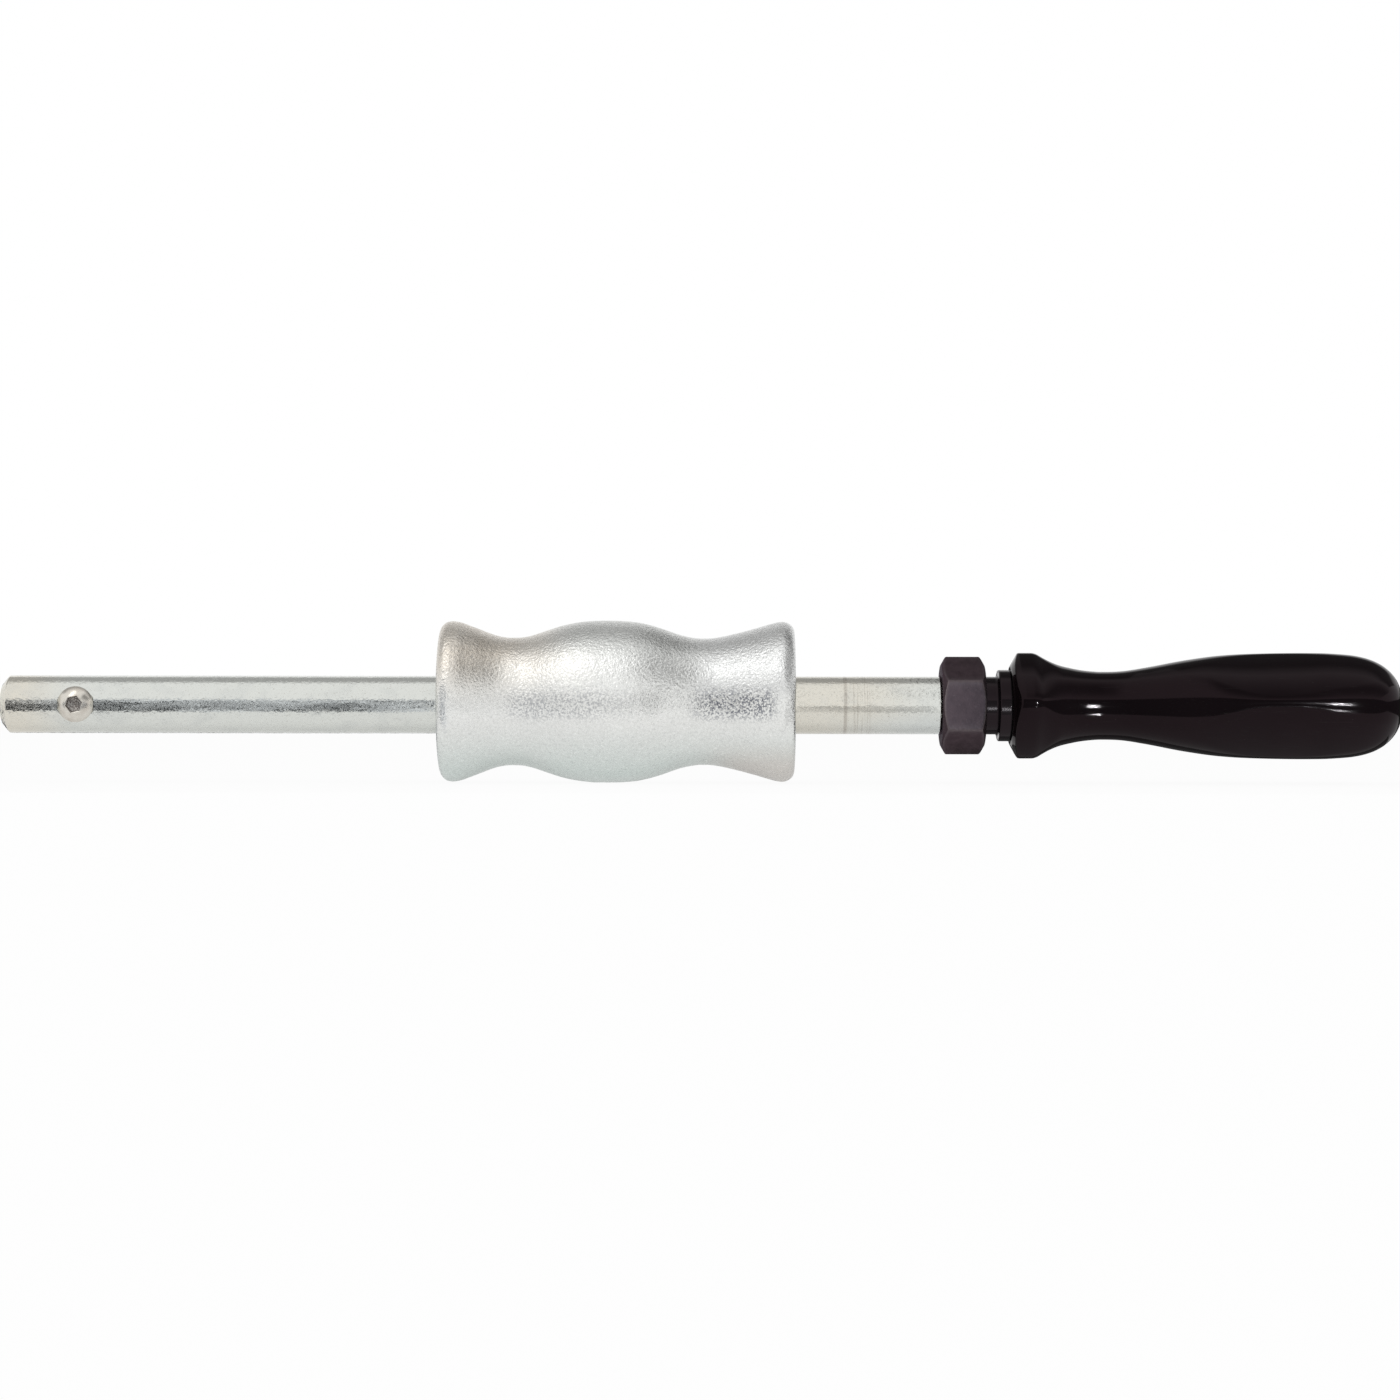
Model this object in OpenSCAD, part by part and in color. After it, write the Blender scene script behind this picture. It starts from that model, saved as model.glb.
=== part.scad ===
// Slide hammer puller. A pulling tool screws into the front of a steel guide rod. A loose cast
// weight slides along the rod and strikes a hexagon nut at its back, in front of a moulded grip.
// The origin is the centre of the rod's front face. X runs along the rod towards the grip,
// Z is up, and the head of the stop screw faces -Y. All sizes are in millimetres.

/* [Guide rod] */
// Diameter of the rod
rod_d = 16; // [14:0.5:20]
// Length of the plain rod, from its front face to the stop nut
rod_len = 260.1; // [240:0.1:400]
// Diameter of the flat front face, inside the chamfer
tip_face_d = 11.4; // [9.2:0.2:12]
// Length of the chamfer at the front
tip_chamfer_len = 1.9; // [1:0.1:4]
// Length of the thread's run-out in front of the stop nut
runout_len = 0.8; // [0.4:0.1:1.5]
// Nominal diameter of the threaded stud that holds the handle
stud_d = 12; // [8:1:12]
// Pitch of the stud's thread
stud_pitch = 1.75; // [1:0.25:2]
// Length of the stud inside the handle
stud_grip_len = 28; // [16:1:28]

/* [Tool socket] */
// Drilled diameter of the threaded socket in the rod's front face
socket_drill_d = 6.8; // [5:0.1:7]
// Pitch of the socket's thread
socket_pitch = 1.25; // [0.75:0.25:1.5]
// Number of turns of thread in the socket
socket_turns = 10; // [6:1:10]
// Diameter of the countersink at the socket's mouth
socket_mouth_d = 8.6; // [8.4:0.1:9]

/* [Stop screw] */
// Distance from the rod's front face to the axis of the stop screw
screw_x = 21.3; // [20:0.1:40]
// Nominal diameter of the screw's thread
screw_d = 6; // [5:0.5:6]
// Pitch of the screw's thread
screw_pitch = 1; // [0.8:0.1:1.25]
// Length of the screw under its head
screw_len = 12; // [8:1:13]
// Diameter of the domed head
screw_head_d = 9.9; // [9:0.1:12]
// Height of the domed head
screw_head_h = 3.4; // [2.8:0.1:5]
// Height of the straight rim below the dome
screw_rim_h = 0.5; // [0.2:0.1:1]
// Width across the flats of the hexagon socket in the head
screw_key_w = 4; // [2.5:0.5:5]
// Depth of the hexagon socket
screw_key_depth = 2.2; // [1.5:0.1:2.6]
// Depth of the flat seat milled into the rod under the head
screw_seat_depth = 0.4; // [0.2:0.1:1.5]

/* [Slide weight] */
// Distance from the weight's back face to the stop nut, at rest
weight_gap = 40.7; // [1:0.1:110]
// Length of the weight
weight_len = 98; // [92:1:100]
// Diameter of the weight's bore
weight_bore_d = 18; // [16.5:0.1:22]
// Width of the chamfer at each end of the bore
weight_bore_chamfer = 1; // [0.2:0.1:2]
// Diameter over the rounded lips at both ends
lip_d = 44.8; // [42:0.1:52]
// Radius of the rounded lips
lip_round = 5.2; // [4:0.1:6]
// Distance from an end face to the crest of its lip
lip_inset = 3.5; // [2:0.1:3.8]
// Diameter of the waist at the front
front_waist_d = 35.4; // [30:0.1:40]
// Distance from the weight's front face to the front waist
front_waist_at = 20.2; // [18:0.1:24]
// Diameter of the belly between the waists
belly_d = 45; // [42:0.1:52]
// Distance from the weight's front face to the belly's crest
belly_at = 46.2; // [42:0.1:50]
// Diameter of the waist at the back
back_waist_d = 34.8; // [30:0.1:40]
// Distance from the weight's front face to the back waist
back_waist_at = 72.2; // [68:0.1:76]
// Hollow radius of the front waist towards the lip
front_waist_lip_round = 17; // [8:0.5:22]
// Hollow radius of the front waist towards the belly
front_waist_belly_round = 22; // [10:0.5:30]
// Hollow radius of the back waist towards the belly
back_waist_belly_round = 17.5; // [10:0.5:30]
// Hollow radius of the back waist towards the lip
back_waist_lip_round = 27; // [12:0.5:40]
// Radius of the belly's crest
belly_round = 50; // [20:1:50]

/* [Stop nut] */
// Width across the flats of the nut
nut_w = 23.7; // [22:0.1:30]
// Thickness of the nut
nut_t = 12; // [8:1:16]
// Pitch of the nut's thread
nut_pitch = 2; // [1:0.25:2]

/* [Handle ferrule] */
// Diameter of the ferrule's neck, next to the nut
ferrule_neck_d = 16; // [14.5:0.1:18]
// Length of the neck
ferrule_neck_len = 3.8; // [2.5:0.1:8]
// Diameter of the ferrule's collar, next to the grip
collar_d = 19.8; // [18:0.1:21]
// Length of the collar
collar_len = 3.4; // [2:0.1:8]
// Radius of the fillet between neck and collar
ferrule_fillet = 0.9; // [0.3:0.1:1.2]
// Chamfer on the collar's edges
collar_chamfer = 0.3; // [0.1:0.1:0.6]

/* [Handle insert] */
// Diameter of the threaded steel insert moulded into the grip
insert_d = 14.5; // [13.5:0.1:15.5]
// Length of the insert
insert_len = 32; // [30:1:40]
// Depth of the two anchoring grooves around the insert
insert_groove_depth = 0.6; // [0.2:0.1:0.6]
// Width of each anchoring groove
insert_groove_w = 3; // [1:0.1:4]

/* [Handle grip] */
// Length of the grip
grip_len = 109; // [105:1:130]
// Width of the grip's front face, where its cone starts
grip_face_d = 21.6; // [18:0.1:24]
// Width of the front flange over its ridges
flange_w = 29.4; // [26:0.1:36]
// Length of the cone on the flange's front
flange_cone_len = 2.1; // [1:0.1:5]
// Length of the flange with its cone
flange_len = 7; // [5.5:0.1:9]
// Diameter of the round waist behind the flange
grip_waist_d = 18.9; // [18:0.1:24]
// Distance from the grip's front face to the waist
grip_waist_at = 26; // [22:0.5:30]
// Width over the ridges where the grip swells out
shoulder_w = 24.1; // [20:0.1:28]
// Distance from the grip's front face to that place
shoulder_at = 45; // [40:0.5:50]
// Width of the palm swell over its ridges
palm_w = 29.6; // [28:0.1:40]
// Distance from the grip's front face to the widest place of the palm swell
palm_at = 81; // [75:0.5:85]
// Distance from the grip's front face to where the section is fully squared
squared_at = 78; // [60:0.5:80]
// Distance from the grip's front face to where the end starts to round off
rounding_at = 92; // [88:0.5:98]

/* [Hidden] */
$fn = 120;
// How far a cut runs past the face that it opens
overrun = 1;

// Clearances between pieces
thread_slack = 0.05;
thread_gap = 0.1;
rest_gap = 0.05;
ferrule_slack = 0.2;
moulded_gap = 0.02;
hole_spare_len = 1.5;
seat_slack = 0.3;
insert_spare_len = 1;

// Colours
zinc = [0.84, 0.84, 0.80];
cast_zinc = [0.82, 0.84, 0.82];
browned_steel = [0.30, 0.27, 0.28];
gloss_black = [0.07, 0.06, 0.06];
plain_steel = [0.62, 0.62, 0.60];

// Form of a 60 degree thread, as shares of its pitch
crest_flat_share = 0.125;
root_flat_share = 0.25;
flank_share = (1 - crest_flat_share - root_flat_share) / 2;
function thread_depth(pitch) = pitch * flank_share / tan(30);

// Radii of the threads' roots on the rod and the screw
rod_r = rod_d / 2;
anvil_root_r = rod_r - thread_slack - thread_depth(nut_pitch);
stud_r = stud_d / 2 - thread_slack;
stud_root_r = stud_r - thread_depth(stud_pitch);
screw_shank_r = screw_d / 2 - thread_slack;
screw_root_r = screw_shank_r - thread_depth(screw_pitch);

// Stop screw, whose axis is at right angles to the rod
screw_seat_h = rod_r - screw_seat_depth;
screw_neck_len = 1.5;
screw_tip_chamfer = 0.6;
screw_key_chamfer = 0.25;
screw_key_turn = 12;

// Places along the rod
nut_x = rod_len;
weight_x = nut_x - weight_gap - weight_len;
ferrule_x = nut_x + nut_t;
grip_x = ferrule_x + ferrule_neck_len + collar_len;
anvil_turns = floor(nut_t / nut_pitch);
stud_turns = floor(stud_grip_len / stud_pitch);
screw_turns = floor((screw_len - screw_neck_len) / screw_pitch);

// Socket in the rod's front face
socket_r = socket_drill_d / 2;
socket_len = (socket_turns + 1) * socket_pitch;
drill_point_angle = 59;

// Weight, which lies on the table and carries the rod at the bottom of its bore
weight_bore_r = weight_bore_d / 2;
weight_lift = weight_bore_r - rod_r - rest_gap;

// Chamfers on the nut
nut_face_share = 0.95;
nut_chamfer_angle = 30;
nut_mouth_spare = 0.4;

// Anchoring grooves on the insert, as shares of its length
groove_places_share = [0.22, 0.66];

// Grip: its section is a square on edge with rounded ridges and bowed sides
flange_ridge_share = 0.31;
palm_ridge_share = 0.2;
end_ridge_share = 0.6;
side_bow_share = 2.45;
flange_back_slope_share = -0.62;
shoulder_slope_share = 0.2;
round_half_len = 6;
end_power = 3.8;
half_side_steps = 6;
neck_steps = 9;
shoulder_steps = 6;
palm_steps = 8;
end_steps = 11;

// A child outline of radius and place, turned about the X axis
module turned() {
    rotate([0, 90, 0]) rotate_extrude() children();
}

// A solid thread of closed rings along X, from its root radius
module thread_core(root_r, pitch, turns) {
    crest_r = root_r + thread_depth(pitch);
    turned() polygon([
        [0, 0],
        [root_r, 0],
        for (i = [0 : turns - 1]) each [
            [root_r, (i + root_flat_share / 2) * pitch],
            [crest_r, (i + root_flat_share / 2 + flank_share) * pitch],
            [crest_r, (i + 1 - root_flat_share / 2 - flank_share) * pitch],
            [root_r, (i + 1 - root_flat_share / 2) * pitch]
        ],
        [root_r, turns * pitch],
        [0, turns * pitch]
    ]);
}

// A hexagonal bar along X with two edges in the XZ plane
module hexagon_bar(w, len) {
    rotate([0, 90, 0]) linear_extrude(len) circle(d = w / cos(30), $fn = 6);
}

// Guide rod: chamfered front, plain guide, thread for the stop nut and stud for the handle
module rod_blank() {
    turned() polygon([
        [0, 0],
        [tip_face_d / 2, 0],
        [rod_r, tip_chamfer_len],
        [rod_r, nut_x - runout_len],
        [anvil_root_r, nut_x - runout_len + rod_r - anvil_root_r],
        [anvil_root_r, ferrule_x],
        [stud_r, ferrule_x],
        [stud_r, grip_x],
        [stud_root_r, grip_x],
        [stud_root_r, grip_x + stud_grip_len],
        [0, grip_x + stud_grip_len]
    ]);
    translate([nut_x, 0, 0]) thread_core(anvil_root_r, nut_pitch, anvil_turns);
    translate([grip_x, 0, 0]) thread_core(stud_root_r, stud_pitch, stud_turns);
}

// Threaded socket that takes the pulling tool, with a countersunk mouth and a drill point
module tool_socket() {
    mouth_r = socket_mouth_d / 2;
    thread_core(socket_r, socket_pitch, socket_turns);
    turned() polygon([
        [0, -overrun],
        [mouth_r + overrun, -overrun],
        [socket_r, mouth_r - socket_r],
        [socket_r, socket_len],
        [0, socket_len + socket_r / tan(drill_point_angle)]
    ]);
}

// The stop screw's tapped hole, from the rod's axis outwards along Z, with its milled seat
module tapped_hole() {
    hole_r = screw_root_r + thread_gap;
    bottom = screw_seat_h - screw_len - hole_spare_len;
    translate([0, 0, bottom]) cylinder(r = hole_r, h = rod_d);
    translate([0, 0, bottom]) rotate([180, 0, 0])
        cylinder(r1 = hole_r, r2 = 0, h = hole_r / tan(drill_point_angle));
    screw_thread(hole_r);
    translate([0, 0, screw_seat_h - screw_neck_len])
        cylinder(r = screw_shank_r + thread_gap, h = rod_d);
    translate([0, 0, screw_seat_h]) cylinder(d = screw_head_d + 2 * seat_slack, h = rod_d);
}

// The stop screw's turns of thread below its plain neck, on a root of the given radius
module screw_thread(root_r) {
    translate([0, 0, screw_seat_h - screw_neck_len - screw_turns * screw_pitch])
        rotate([0, -90, 0]) thread_core(root_r, screw_pitch, screw_turns);
}

module guide_rod() {
    color(zinc) difference() {
        rod_blank();
        tool_socket();
        translate([screw_x, 0, 0]) rotate([90, 0, 0]) tapped_hole();
    }
}

// Stop screw: a button head that keeps the weight on the rod
module stop_screw() {
    dome_h = screw_head_h - screw_rim_h;
    head_r = screw_head_d / 2;
    dome_r = (head_r * head_r + dome_h * dome_h) / (2 * dome_h);
    tip_h = screw_seat_h - screw_len;
    key_r = screw_key_w / 2;
    color(zinc) translate([screw_x, 0, 0]) rotate([90, 0, 0]) difference() {
        union() {
            translate([0, 0, screw_seat_h]) rotate_extrude() intersection() {
                translate([0, screw_head_h - dome_r]) circle(dome_r);
                square([head_r, screw_head_h]);
            }
            translate([0, 0, screw_seat_h - screw_neck_len])
                cylinder(r = screw_shank_r, h = screw_neck_len);
            screw_thread(screw_root_r);
            translate([0, 0, tip_h + screw_tip_chamfer])
                cylinder(r = screw_root_r, h = screw_len - screw_tip_chamfer);
            translate([0, 0, tip_h])
                cylinder(r1 = screw_root_r - screw_tip_chamfer, r2 = screw_root_r, h = screw_tip_chamfer);
        }
        translate([0, 0, screw_seat_h + screw_head_h - screw_key_depth])
            rotate([0, 0, screw_key_turn])
                cylinder(d = screw_key_w / cos(30), h = screw_key_depth + overrun, $fn = 6);
        translate([0, 0, screw_seat_h + screw_head_h - screw_key_chamfer])
            cylinder(r1 = key_r, r2 = key_r + screw_key_chamfer + overrun, h = screw_key_chamfer + overrun);
    }
}

// A flank of the weight runs from a waist up to a crest: a hollow arc, a straight line that
// touches both arcs, and the crest's crown arc. It is the list of its length, the waist's radius,
// the hollow's radius, the crest's radius and the crown's radius.
function hollow_r(flank) =
    let (rise = flank[3] - flank[1])
    min(flank[2], (flank[0] * flank[0] + rise * rise) / (2 * rise) - flank[4]);
function hollow_centre(flank) = flank[1] + hollow_r(flank);
function crown_centre(flank) = flank[3] - flank[4];
function flank_slope(flank) =
    let (drop = hollow_centre(flank) - crown_centre(flank), span = norm([flank[0], drop]))
    atan2(flank[0], drop) - acos(min(1, (hollow_r(flank) + flank[4]) / span));
// Length of the crown between its crest and the straight line, to a whole micron so that
// neighbouring areas meet exactly
function crown_len(flank) = round(flank[4] * sin(flank_slope(flank)) * 1000) / 1000;

// Area between the axis and a flank, from the waist at place 0 to the start of the crown
module flank_area(flank) {
    hollow = hollow_r(flank);
    slope = flank_slope(flank);
    low = [hollow_centre(flank) - hollow * cos(slope), hollow * sin(slope)];
    high = [crown_centre(flank) + sqrt(flank[4] * flank[4] - crown_len(flank) * crown_len(flank)),
            flank[0] - crown_len(flank)];
    difference() {
        polygon([[0, 0], [hollow_centre(flank), 0], low, high, [0, high[1]]]);
        translate([hollow_centre(flank), 0]) circle(hollow);
    }
}

// Area between the axis and the crown of a crest at the place at, between two places
module crest_area(from, to, at, crest_r, crown) {
    intersection() {
        translate([0, from]) square([crest_r + overrun, to - from]);
        union() {
            translate([crest_r - crown, at]) circle(crown);
            translate([0, from]) square([max(crest_r - crown, rod_r), to - from]);
        }
    }
}

// Half outline of the weight, from its front face at place 0
module weight_area() {
    lip_r = lip_d / 2;
    belly_r = belly_d / 2;
    front_r = front_waist_d / 2;
    back_r = back_waist_d / 2;
    back_lip_at = weight_len - lip_inset;
    front_lip = [front_waist_at - lip_inset, front_r, front_waist_lip_round, lip_r, lip_round];
    front_belly = [belly_at - front_waist_at, front_r, front_waist_belly_round, belly_r, belly_round];
    back_belly = [back_waist_at - belly_at, back_r, back_waist_belly_round, belly_r, belly_round];
    back_lip = [back_lip_at - back_waist_at, back_r, back_waist_lip_round, lip_r, lip_round];
    crest_area(0, lip_inset + crown_len(front_lip), lip_inset, lip_r, lip_round);
    translate([0, front_waist_at]) mirror([0, 1]) flank_area(front_lip);
    translate([0, front_waist_at]) flank_area(front_belly);
    crest_area(belly_at - crown_len(front_belly), belly_at + crown_len(back_belly),
               belly_at, belly_r, belly_round);
    translate([0, back_waist_at]) mirror([0, 1]) flank_area(back_belly);
    translate([0, back_waist_at]) flank_area(back_lip);
    crest_area(back_lip_at - crown_len(back_lip), weight_len, back_lip_at, lip_r, lip_round);
}

// Slide weight: a cast grip with two lips, two waists and a belly, bored loosely for the rod
module slide_weight() {
    mouth_r = weight_bore_r + weight_bore_chamfer;
    color(cast_zinc) translate([weight_x, 0, weight_lift]) turned() difference() {
        weight_area();
        translate([0, -overrun]) square([weight_bore_r, weight_len + 2 * overrun]);
        polygon([
            [0, -overrun],
            [mouth_r + overrun, -overrun],
            [weight_bore_r, weight_bore_chamfer],
            [0, weight_bore_chamfer]
        ]);
        polygon([
            [0, weight_len - weight_bore_chamfer],
            [weight_bore_r, weight_len - weight_bore_chamfer],
            [mouth_r + overrun, weight_len + overrun],
            [0, weight_len + overrun]
        ]);
    }
}

// Stop nut: the anvil that the weight strikes, screwed on the rod up to its run-out
module stop_nut() {
    face_r = nut_w / 2 * nut_face_share;
    edge_r = nut_w / 2 / cos(30) + overrun;
    chamfer_len = (edge_r - face_r) * tan(nut_chamfer_angle);
    land_r = anvil_root_r + thread_gap;
    mouth_r = rod_r + nut_mouth_spare;
    mouth_len = (mouth_r + overrun - land_r) * tan(nut_chamfer_angle);
    past_len = overrun * tan(nut_chamfer_angle);
    color(browned_steel) translate([nut_x, 0, 0]) difference() {
        intersection() {
            hexagon_bar(nut_w, nut_t);
            turned() polygon([
                [0, 0],
                [face_r, 0],
                [edge_r, chamfer_len],
                [edge_r, nut_t - chamfer_len],
                [face_r, nut_t],
                [0, nut_t]
            ]);
        }
        turned() polygon([
            [0, -past_len],
            [mouth_r + overrun, -past_len],
            [land_r, mouth_len - past_len],
            [land_r, nut_t - mouth_len + past_len],
            [mouth_r + overrun, nut_t + past_len],
            [0, nut_t + past_len]
        ]);
        thread_core(land_r, nut_pitch, anvil_turns);
    }
}

// Handle ferrule: a short neck against the nut and a collar against the grip
module handle_ferrule() {
    neck_r = ferrule_neck_d / 2;
    collar_r = collar_d / 2;
    len = ferrule_neck_len + collar_len;
    color(gloss_black) translate([ferrule_x, 0, 0]) turned() difference() {
        polygon([
            [0, 0],
            [neck_r - collar_chamfer, 0],
            [neck_r, collar_chamfer],
            [neck_r, ferrule_neck_len - ferrule_fillet],
            [neck_r + ferrule_fillet, ferrule_neck_len],
            [collar_r - collar_chamfer, ferrule_neck_len],
            [collar_r, ferrule_neck_len + collar_chamfer],
            [collar_r, len - collar_chamfer],
            [collar_r - collar_chamfer, len],
            [0, len]
        ]);
        translate([neck_r + ferrule_fillet, ferrule_neck_len - ferrule_fillet]) circle(ferrule_fillet);
        translate([0, -overrun]) square([stud_r + ferrule_slack, len + 2 * overrun]);
    }
}

// Outside of the insert, grown by a clearance
module insert_blank(grow) {
    r = insert_d / 2;
    turned() difference() {
        translate([0, -grow]) square([r + grow, insert_len + 2 * grow]);
        for (share = groove_places_share)
            translate([r - insert_groove_depth + grow, insert_len * share + grow])
                square([insert_d, insert_groove_w - 2 * grow]);
    }
}

// Handle insert: a threaded steel bush that the grip is moulded around
module handle_insert() {
    land_r = stud_root_r + thread_gap;
    color(plain_steel) translate([grip_x, 0, 0]) difference() {
        insert_blank(0);
        turned() translate([0, -overrun])
            square([land_r, stud_grip_len + insert_spare_len + overrun]);
        thread_core(land_r, stud_pitch, stud_turns);
        turned() polygon([
            [0, -overrun],
            [stud_r + thread_gap + overrun, -overrun],
            [stud_r + thread_gap, 0],
            [land_r, stud_r + thread_gap - land_r],
            [0, stud_r + thread_gap - land_r]
        ]);
    }
}

function eased(t) = t * t * (3 - 2 * t);
function blend(x, x0, x1, v0, v1) = v0 + (v1 - v0) * eased(min(1, max(0, (x - x0) / (x1 - x0))));

// A curve from r0 at x0 to r1 at x1 with the given slopes at its ends
function sweep_r(x, x0, x1, r0, r1, slope0, slope1) =
    let (t = (x - x0) / (x1 - x0), len = x1 - x0)
    r0 * (1 - eased(t)) + r1 * eased(t)
    + len * slope0 * t * (1 - t) * (1 - t) - len * slope1 * t * t * (1 - t);

// Distance from the axis to a ridge of the grip, at the place x from its front face
function ridge_r(x) =
    x <= flange_len ? flange_w / 2
    : x < grip_waist_at ? sweep_r(x, flange_len, grip_waist_at, flange_w / 2, grip_waist_d / 2,
                                  flange_back_slope_share, 0)
    : x < shoulder_at ? sweep_r(x, grip_waist_at, shoulder_at, grip_waist_d / 2, shoulder_w / 2,
                                0, shoulder_slope_share)
    : x < palm_at ? sweep_r(x, shoulder_at, palm_at, shoulder_w / 2, palm_w / 2, shoulder_slope_share, 0)
    : palm_w / 2 * sqrt(max(0, 1 - pow((x - palm_at) / (grip_len - palm_at), end_power)));

// Radius of a ridge's own rounding, as a share of its distance from the axis
function ridge_share(x) =
    x < grip_waist_at ? blend(x, flange_len, grip_waist_at - round_half_len, flange_ridge_share, 1)
    : x < squared_at ? blend(x, grip_waist_at + round_half_len, squared_at, 1, palm_ridge_share)
    : blend(x, rounding_at, grip_len, palm_ridge_share, end_ridge_share);

// Distance from the axis to the grip's section, at an angle of 0 to 45 degrees from a ridge
function section_r(angle, r, share) =
    let (
        round = r * share,
        ridge_c = r - round,
        bow = r * side_bow_share,
        reach = bow - round,
        side_c = (sqrt(4 * reach * reach - 2 * ridge_c * ridge_c) - sqrt(2) * ridge_c) / 2,
        half = side_c / sqrt(2),
        meet = atan2(round * half / reach, ridge_c + round * (ridge_c + half) / reach)
    )
    angle < meet
        ? ridge_c * cos(angle) + sqrt(round * round - pow(ridge_c * sin(angle), 2))
        : sqrt(bow * bow - pow(side_c * sin(45 - angle), 2)) - side_c * cos(45 - angle);

// Angles around the section, closer together near the ridges
function side_angle(i) = 45 * pow(i / half_side_steps, 1.7);
side_angles = [
    for (i = [0 : half_side_steps]) side_angle(i),
    for (i = [half_side_steps - 1 : -1 : 1]) 90 - side_angle(i)
];
ring_angles = [for (quarter = [0 : 3]) for (a = side_angles) 90 * quarter + a];
ring_size = len(ring_angles);

// Places of the rings along the grip
grip_places = [
    0,
    for (i = [0 : neck_steps]) flange_len + (grip_waist_at - flange_len) * i / neck_steps,
    for (i = [1 : shoulder_steps]) grip_waist_at + (shoulder_at - grip_waist_at) * i / shoulder_steps,
    for (i = [1 : palm_steps]) shoulder_at + (palm_at - shoulder_at) * i / palm_steps,
    for (i = [1 : end_steps - 1]) palm_at + (grip_len - palm_at) * pow(sin(90 * i / end_steps), 2 / end_power)
];

// The grip's outer skin: rings of points, closed by a point on the axis at each end
module grip_skin() {
    rings = len(grip_places);
    last = rings * ring_size;
    points = [
        for (x = grip_places) for (a = ring_angles)
            let (turn = a % 90, r = section_r(min(turn, 90 - turn), ridge_r(x), ridge_share(x)))
            [x, r * cos(a), r * sin(a)],
        [0, 0, 0],
        [grip_len, 0, 0]
    ];
    faces = [
        for (k = [0 : rings - 2]) for (j = [0 : ring_size - 1])
            let (a = k * ring_size + j, b = k * ring_size + (j + 1) % ring_size)
            each [[a, a + ring_size, b], [b, a + ring_size, b + ring_size]],
        for (j = [0 : ring_size - 1])
            let (next = (j + 1) % ring_size, back = (rings - 1) * ring_size)
            each [[last, j, next], [last + 1, back + next, back + j]]
    ];
    polyhedron(points, faces);
}

// Handle grip: a moulded handle with a coned flange, a round waist and a squared palm swell
module handle_grip() {
    cone_end_r = flange_w / 2 + overrun;
    cone_slope = (flange_w - grip_face_d) / 2 / flange_cone_len;
    color(gloss_black) translate([grip_x, 0, 0]) difference() {
        intersection() {
            grip_skin();
            turned() polygon([
                [0, 0],
                [grip_face_d / 2, 0],
                [cone_end_r, (cone_end_r - grip_face_d / 2) / cone_slope],
                [cone_end_r, grip_len + overrun],
                [0, grip_len + overrun]
            ]);
        }
        insert_blank(moulded_gap);
    }
}

guide_rod();
stop_screw();
slide_weight();
stop_nut();
handle_ferrule();
handle_insert();
handle_grip();
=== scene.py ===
import math

import bpy
import numpy as np
from bpy.props import FloatProperty, FloatVectorProperty, IntProperty, PointerProperty
from mathutils import Matrix, Vector, noise


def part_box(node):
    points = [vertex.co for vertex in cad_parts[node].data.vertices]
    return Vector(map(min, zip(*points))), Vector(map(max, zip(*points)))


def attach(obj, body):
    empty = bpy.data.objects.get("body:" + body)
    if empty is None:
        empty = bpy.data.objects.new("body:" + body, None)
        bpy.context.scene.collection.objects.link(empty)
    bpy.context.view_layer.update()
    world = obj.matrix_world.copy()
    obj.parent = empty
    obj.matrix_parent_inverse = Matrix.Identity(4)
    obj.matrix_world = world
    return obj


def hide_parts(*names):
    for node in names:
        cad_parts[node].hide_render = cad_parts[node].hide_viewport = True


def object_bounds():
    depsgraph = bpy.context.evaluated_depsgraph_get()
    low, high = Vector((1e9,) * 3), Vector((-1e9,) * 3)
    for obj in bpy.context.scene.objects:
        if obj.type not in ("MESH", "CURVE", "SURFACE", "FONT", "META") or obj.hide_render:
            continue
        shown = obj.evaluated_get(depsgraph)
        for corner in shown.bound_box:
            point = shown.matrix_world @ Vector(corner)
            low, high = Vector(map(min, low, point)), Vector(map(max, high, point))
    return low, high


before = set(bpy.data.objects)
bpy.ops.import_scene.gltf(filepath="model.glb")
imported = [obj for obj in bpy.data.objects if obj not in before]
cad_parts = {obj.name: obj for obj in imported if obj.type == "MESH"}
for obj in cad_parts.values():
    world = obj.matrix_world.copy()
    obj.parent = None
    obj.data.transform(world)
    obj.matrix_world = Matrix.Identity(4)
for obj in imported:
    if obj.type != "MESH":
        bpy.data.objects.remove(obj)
CAD_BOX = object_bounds()
ROD_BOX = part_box("guide_rod")
WEIGHT_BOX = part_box("slide_weight")
NUT_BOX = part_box("stop_nut")
FERRULE_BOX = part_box("handle_ferrule")
GRIP_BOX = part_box("handle_grip")

bl_info = {
    "name": "Slide Hammer Puller",
    "version": (1, 0, 0),
    "blender": (4, 5, 0),
    "location": "3D View > Sidebar > Puller",
    "description": "Dresses the packed slide hammer puller and sets its stage",
    "category": "Add Mesh",
}

MM = 0.001
# Radius in millimetres of the small ring that closes an end on its axis
POINT_R = 0.001
# Depth in millimetres of the flat under the stop screw's head
SEAT_DEPTH = 0.4
# Distance in metres of the upright cards from the rod's axis, and the height of their upper edge
CARD_AWAY = 0.043
CARD_TOP = 0.0144
# Place in metres of the card past the grip's end
END_CARD = 0.47
# The camera's places along the rod and above its axis in metres, and its roll in degrees
CAMERA_X = 0.1933
CAMERA_Z = 0.00143
CAMERA_ROLL = 0.09

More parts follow.
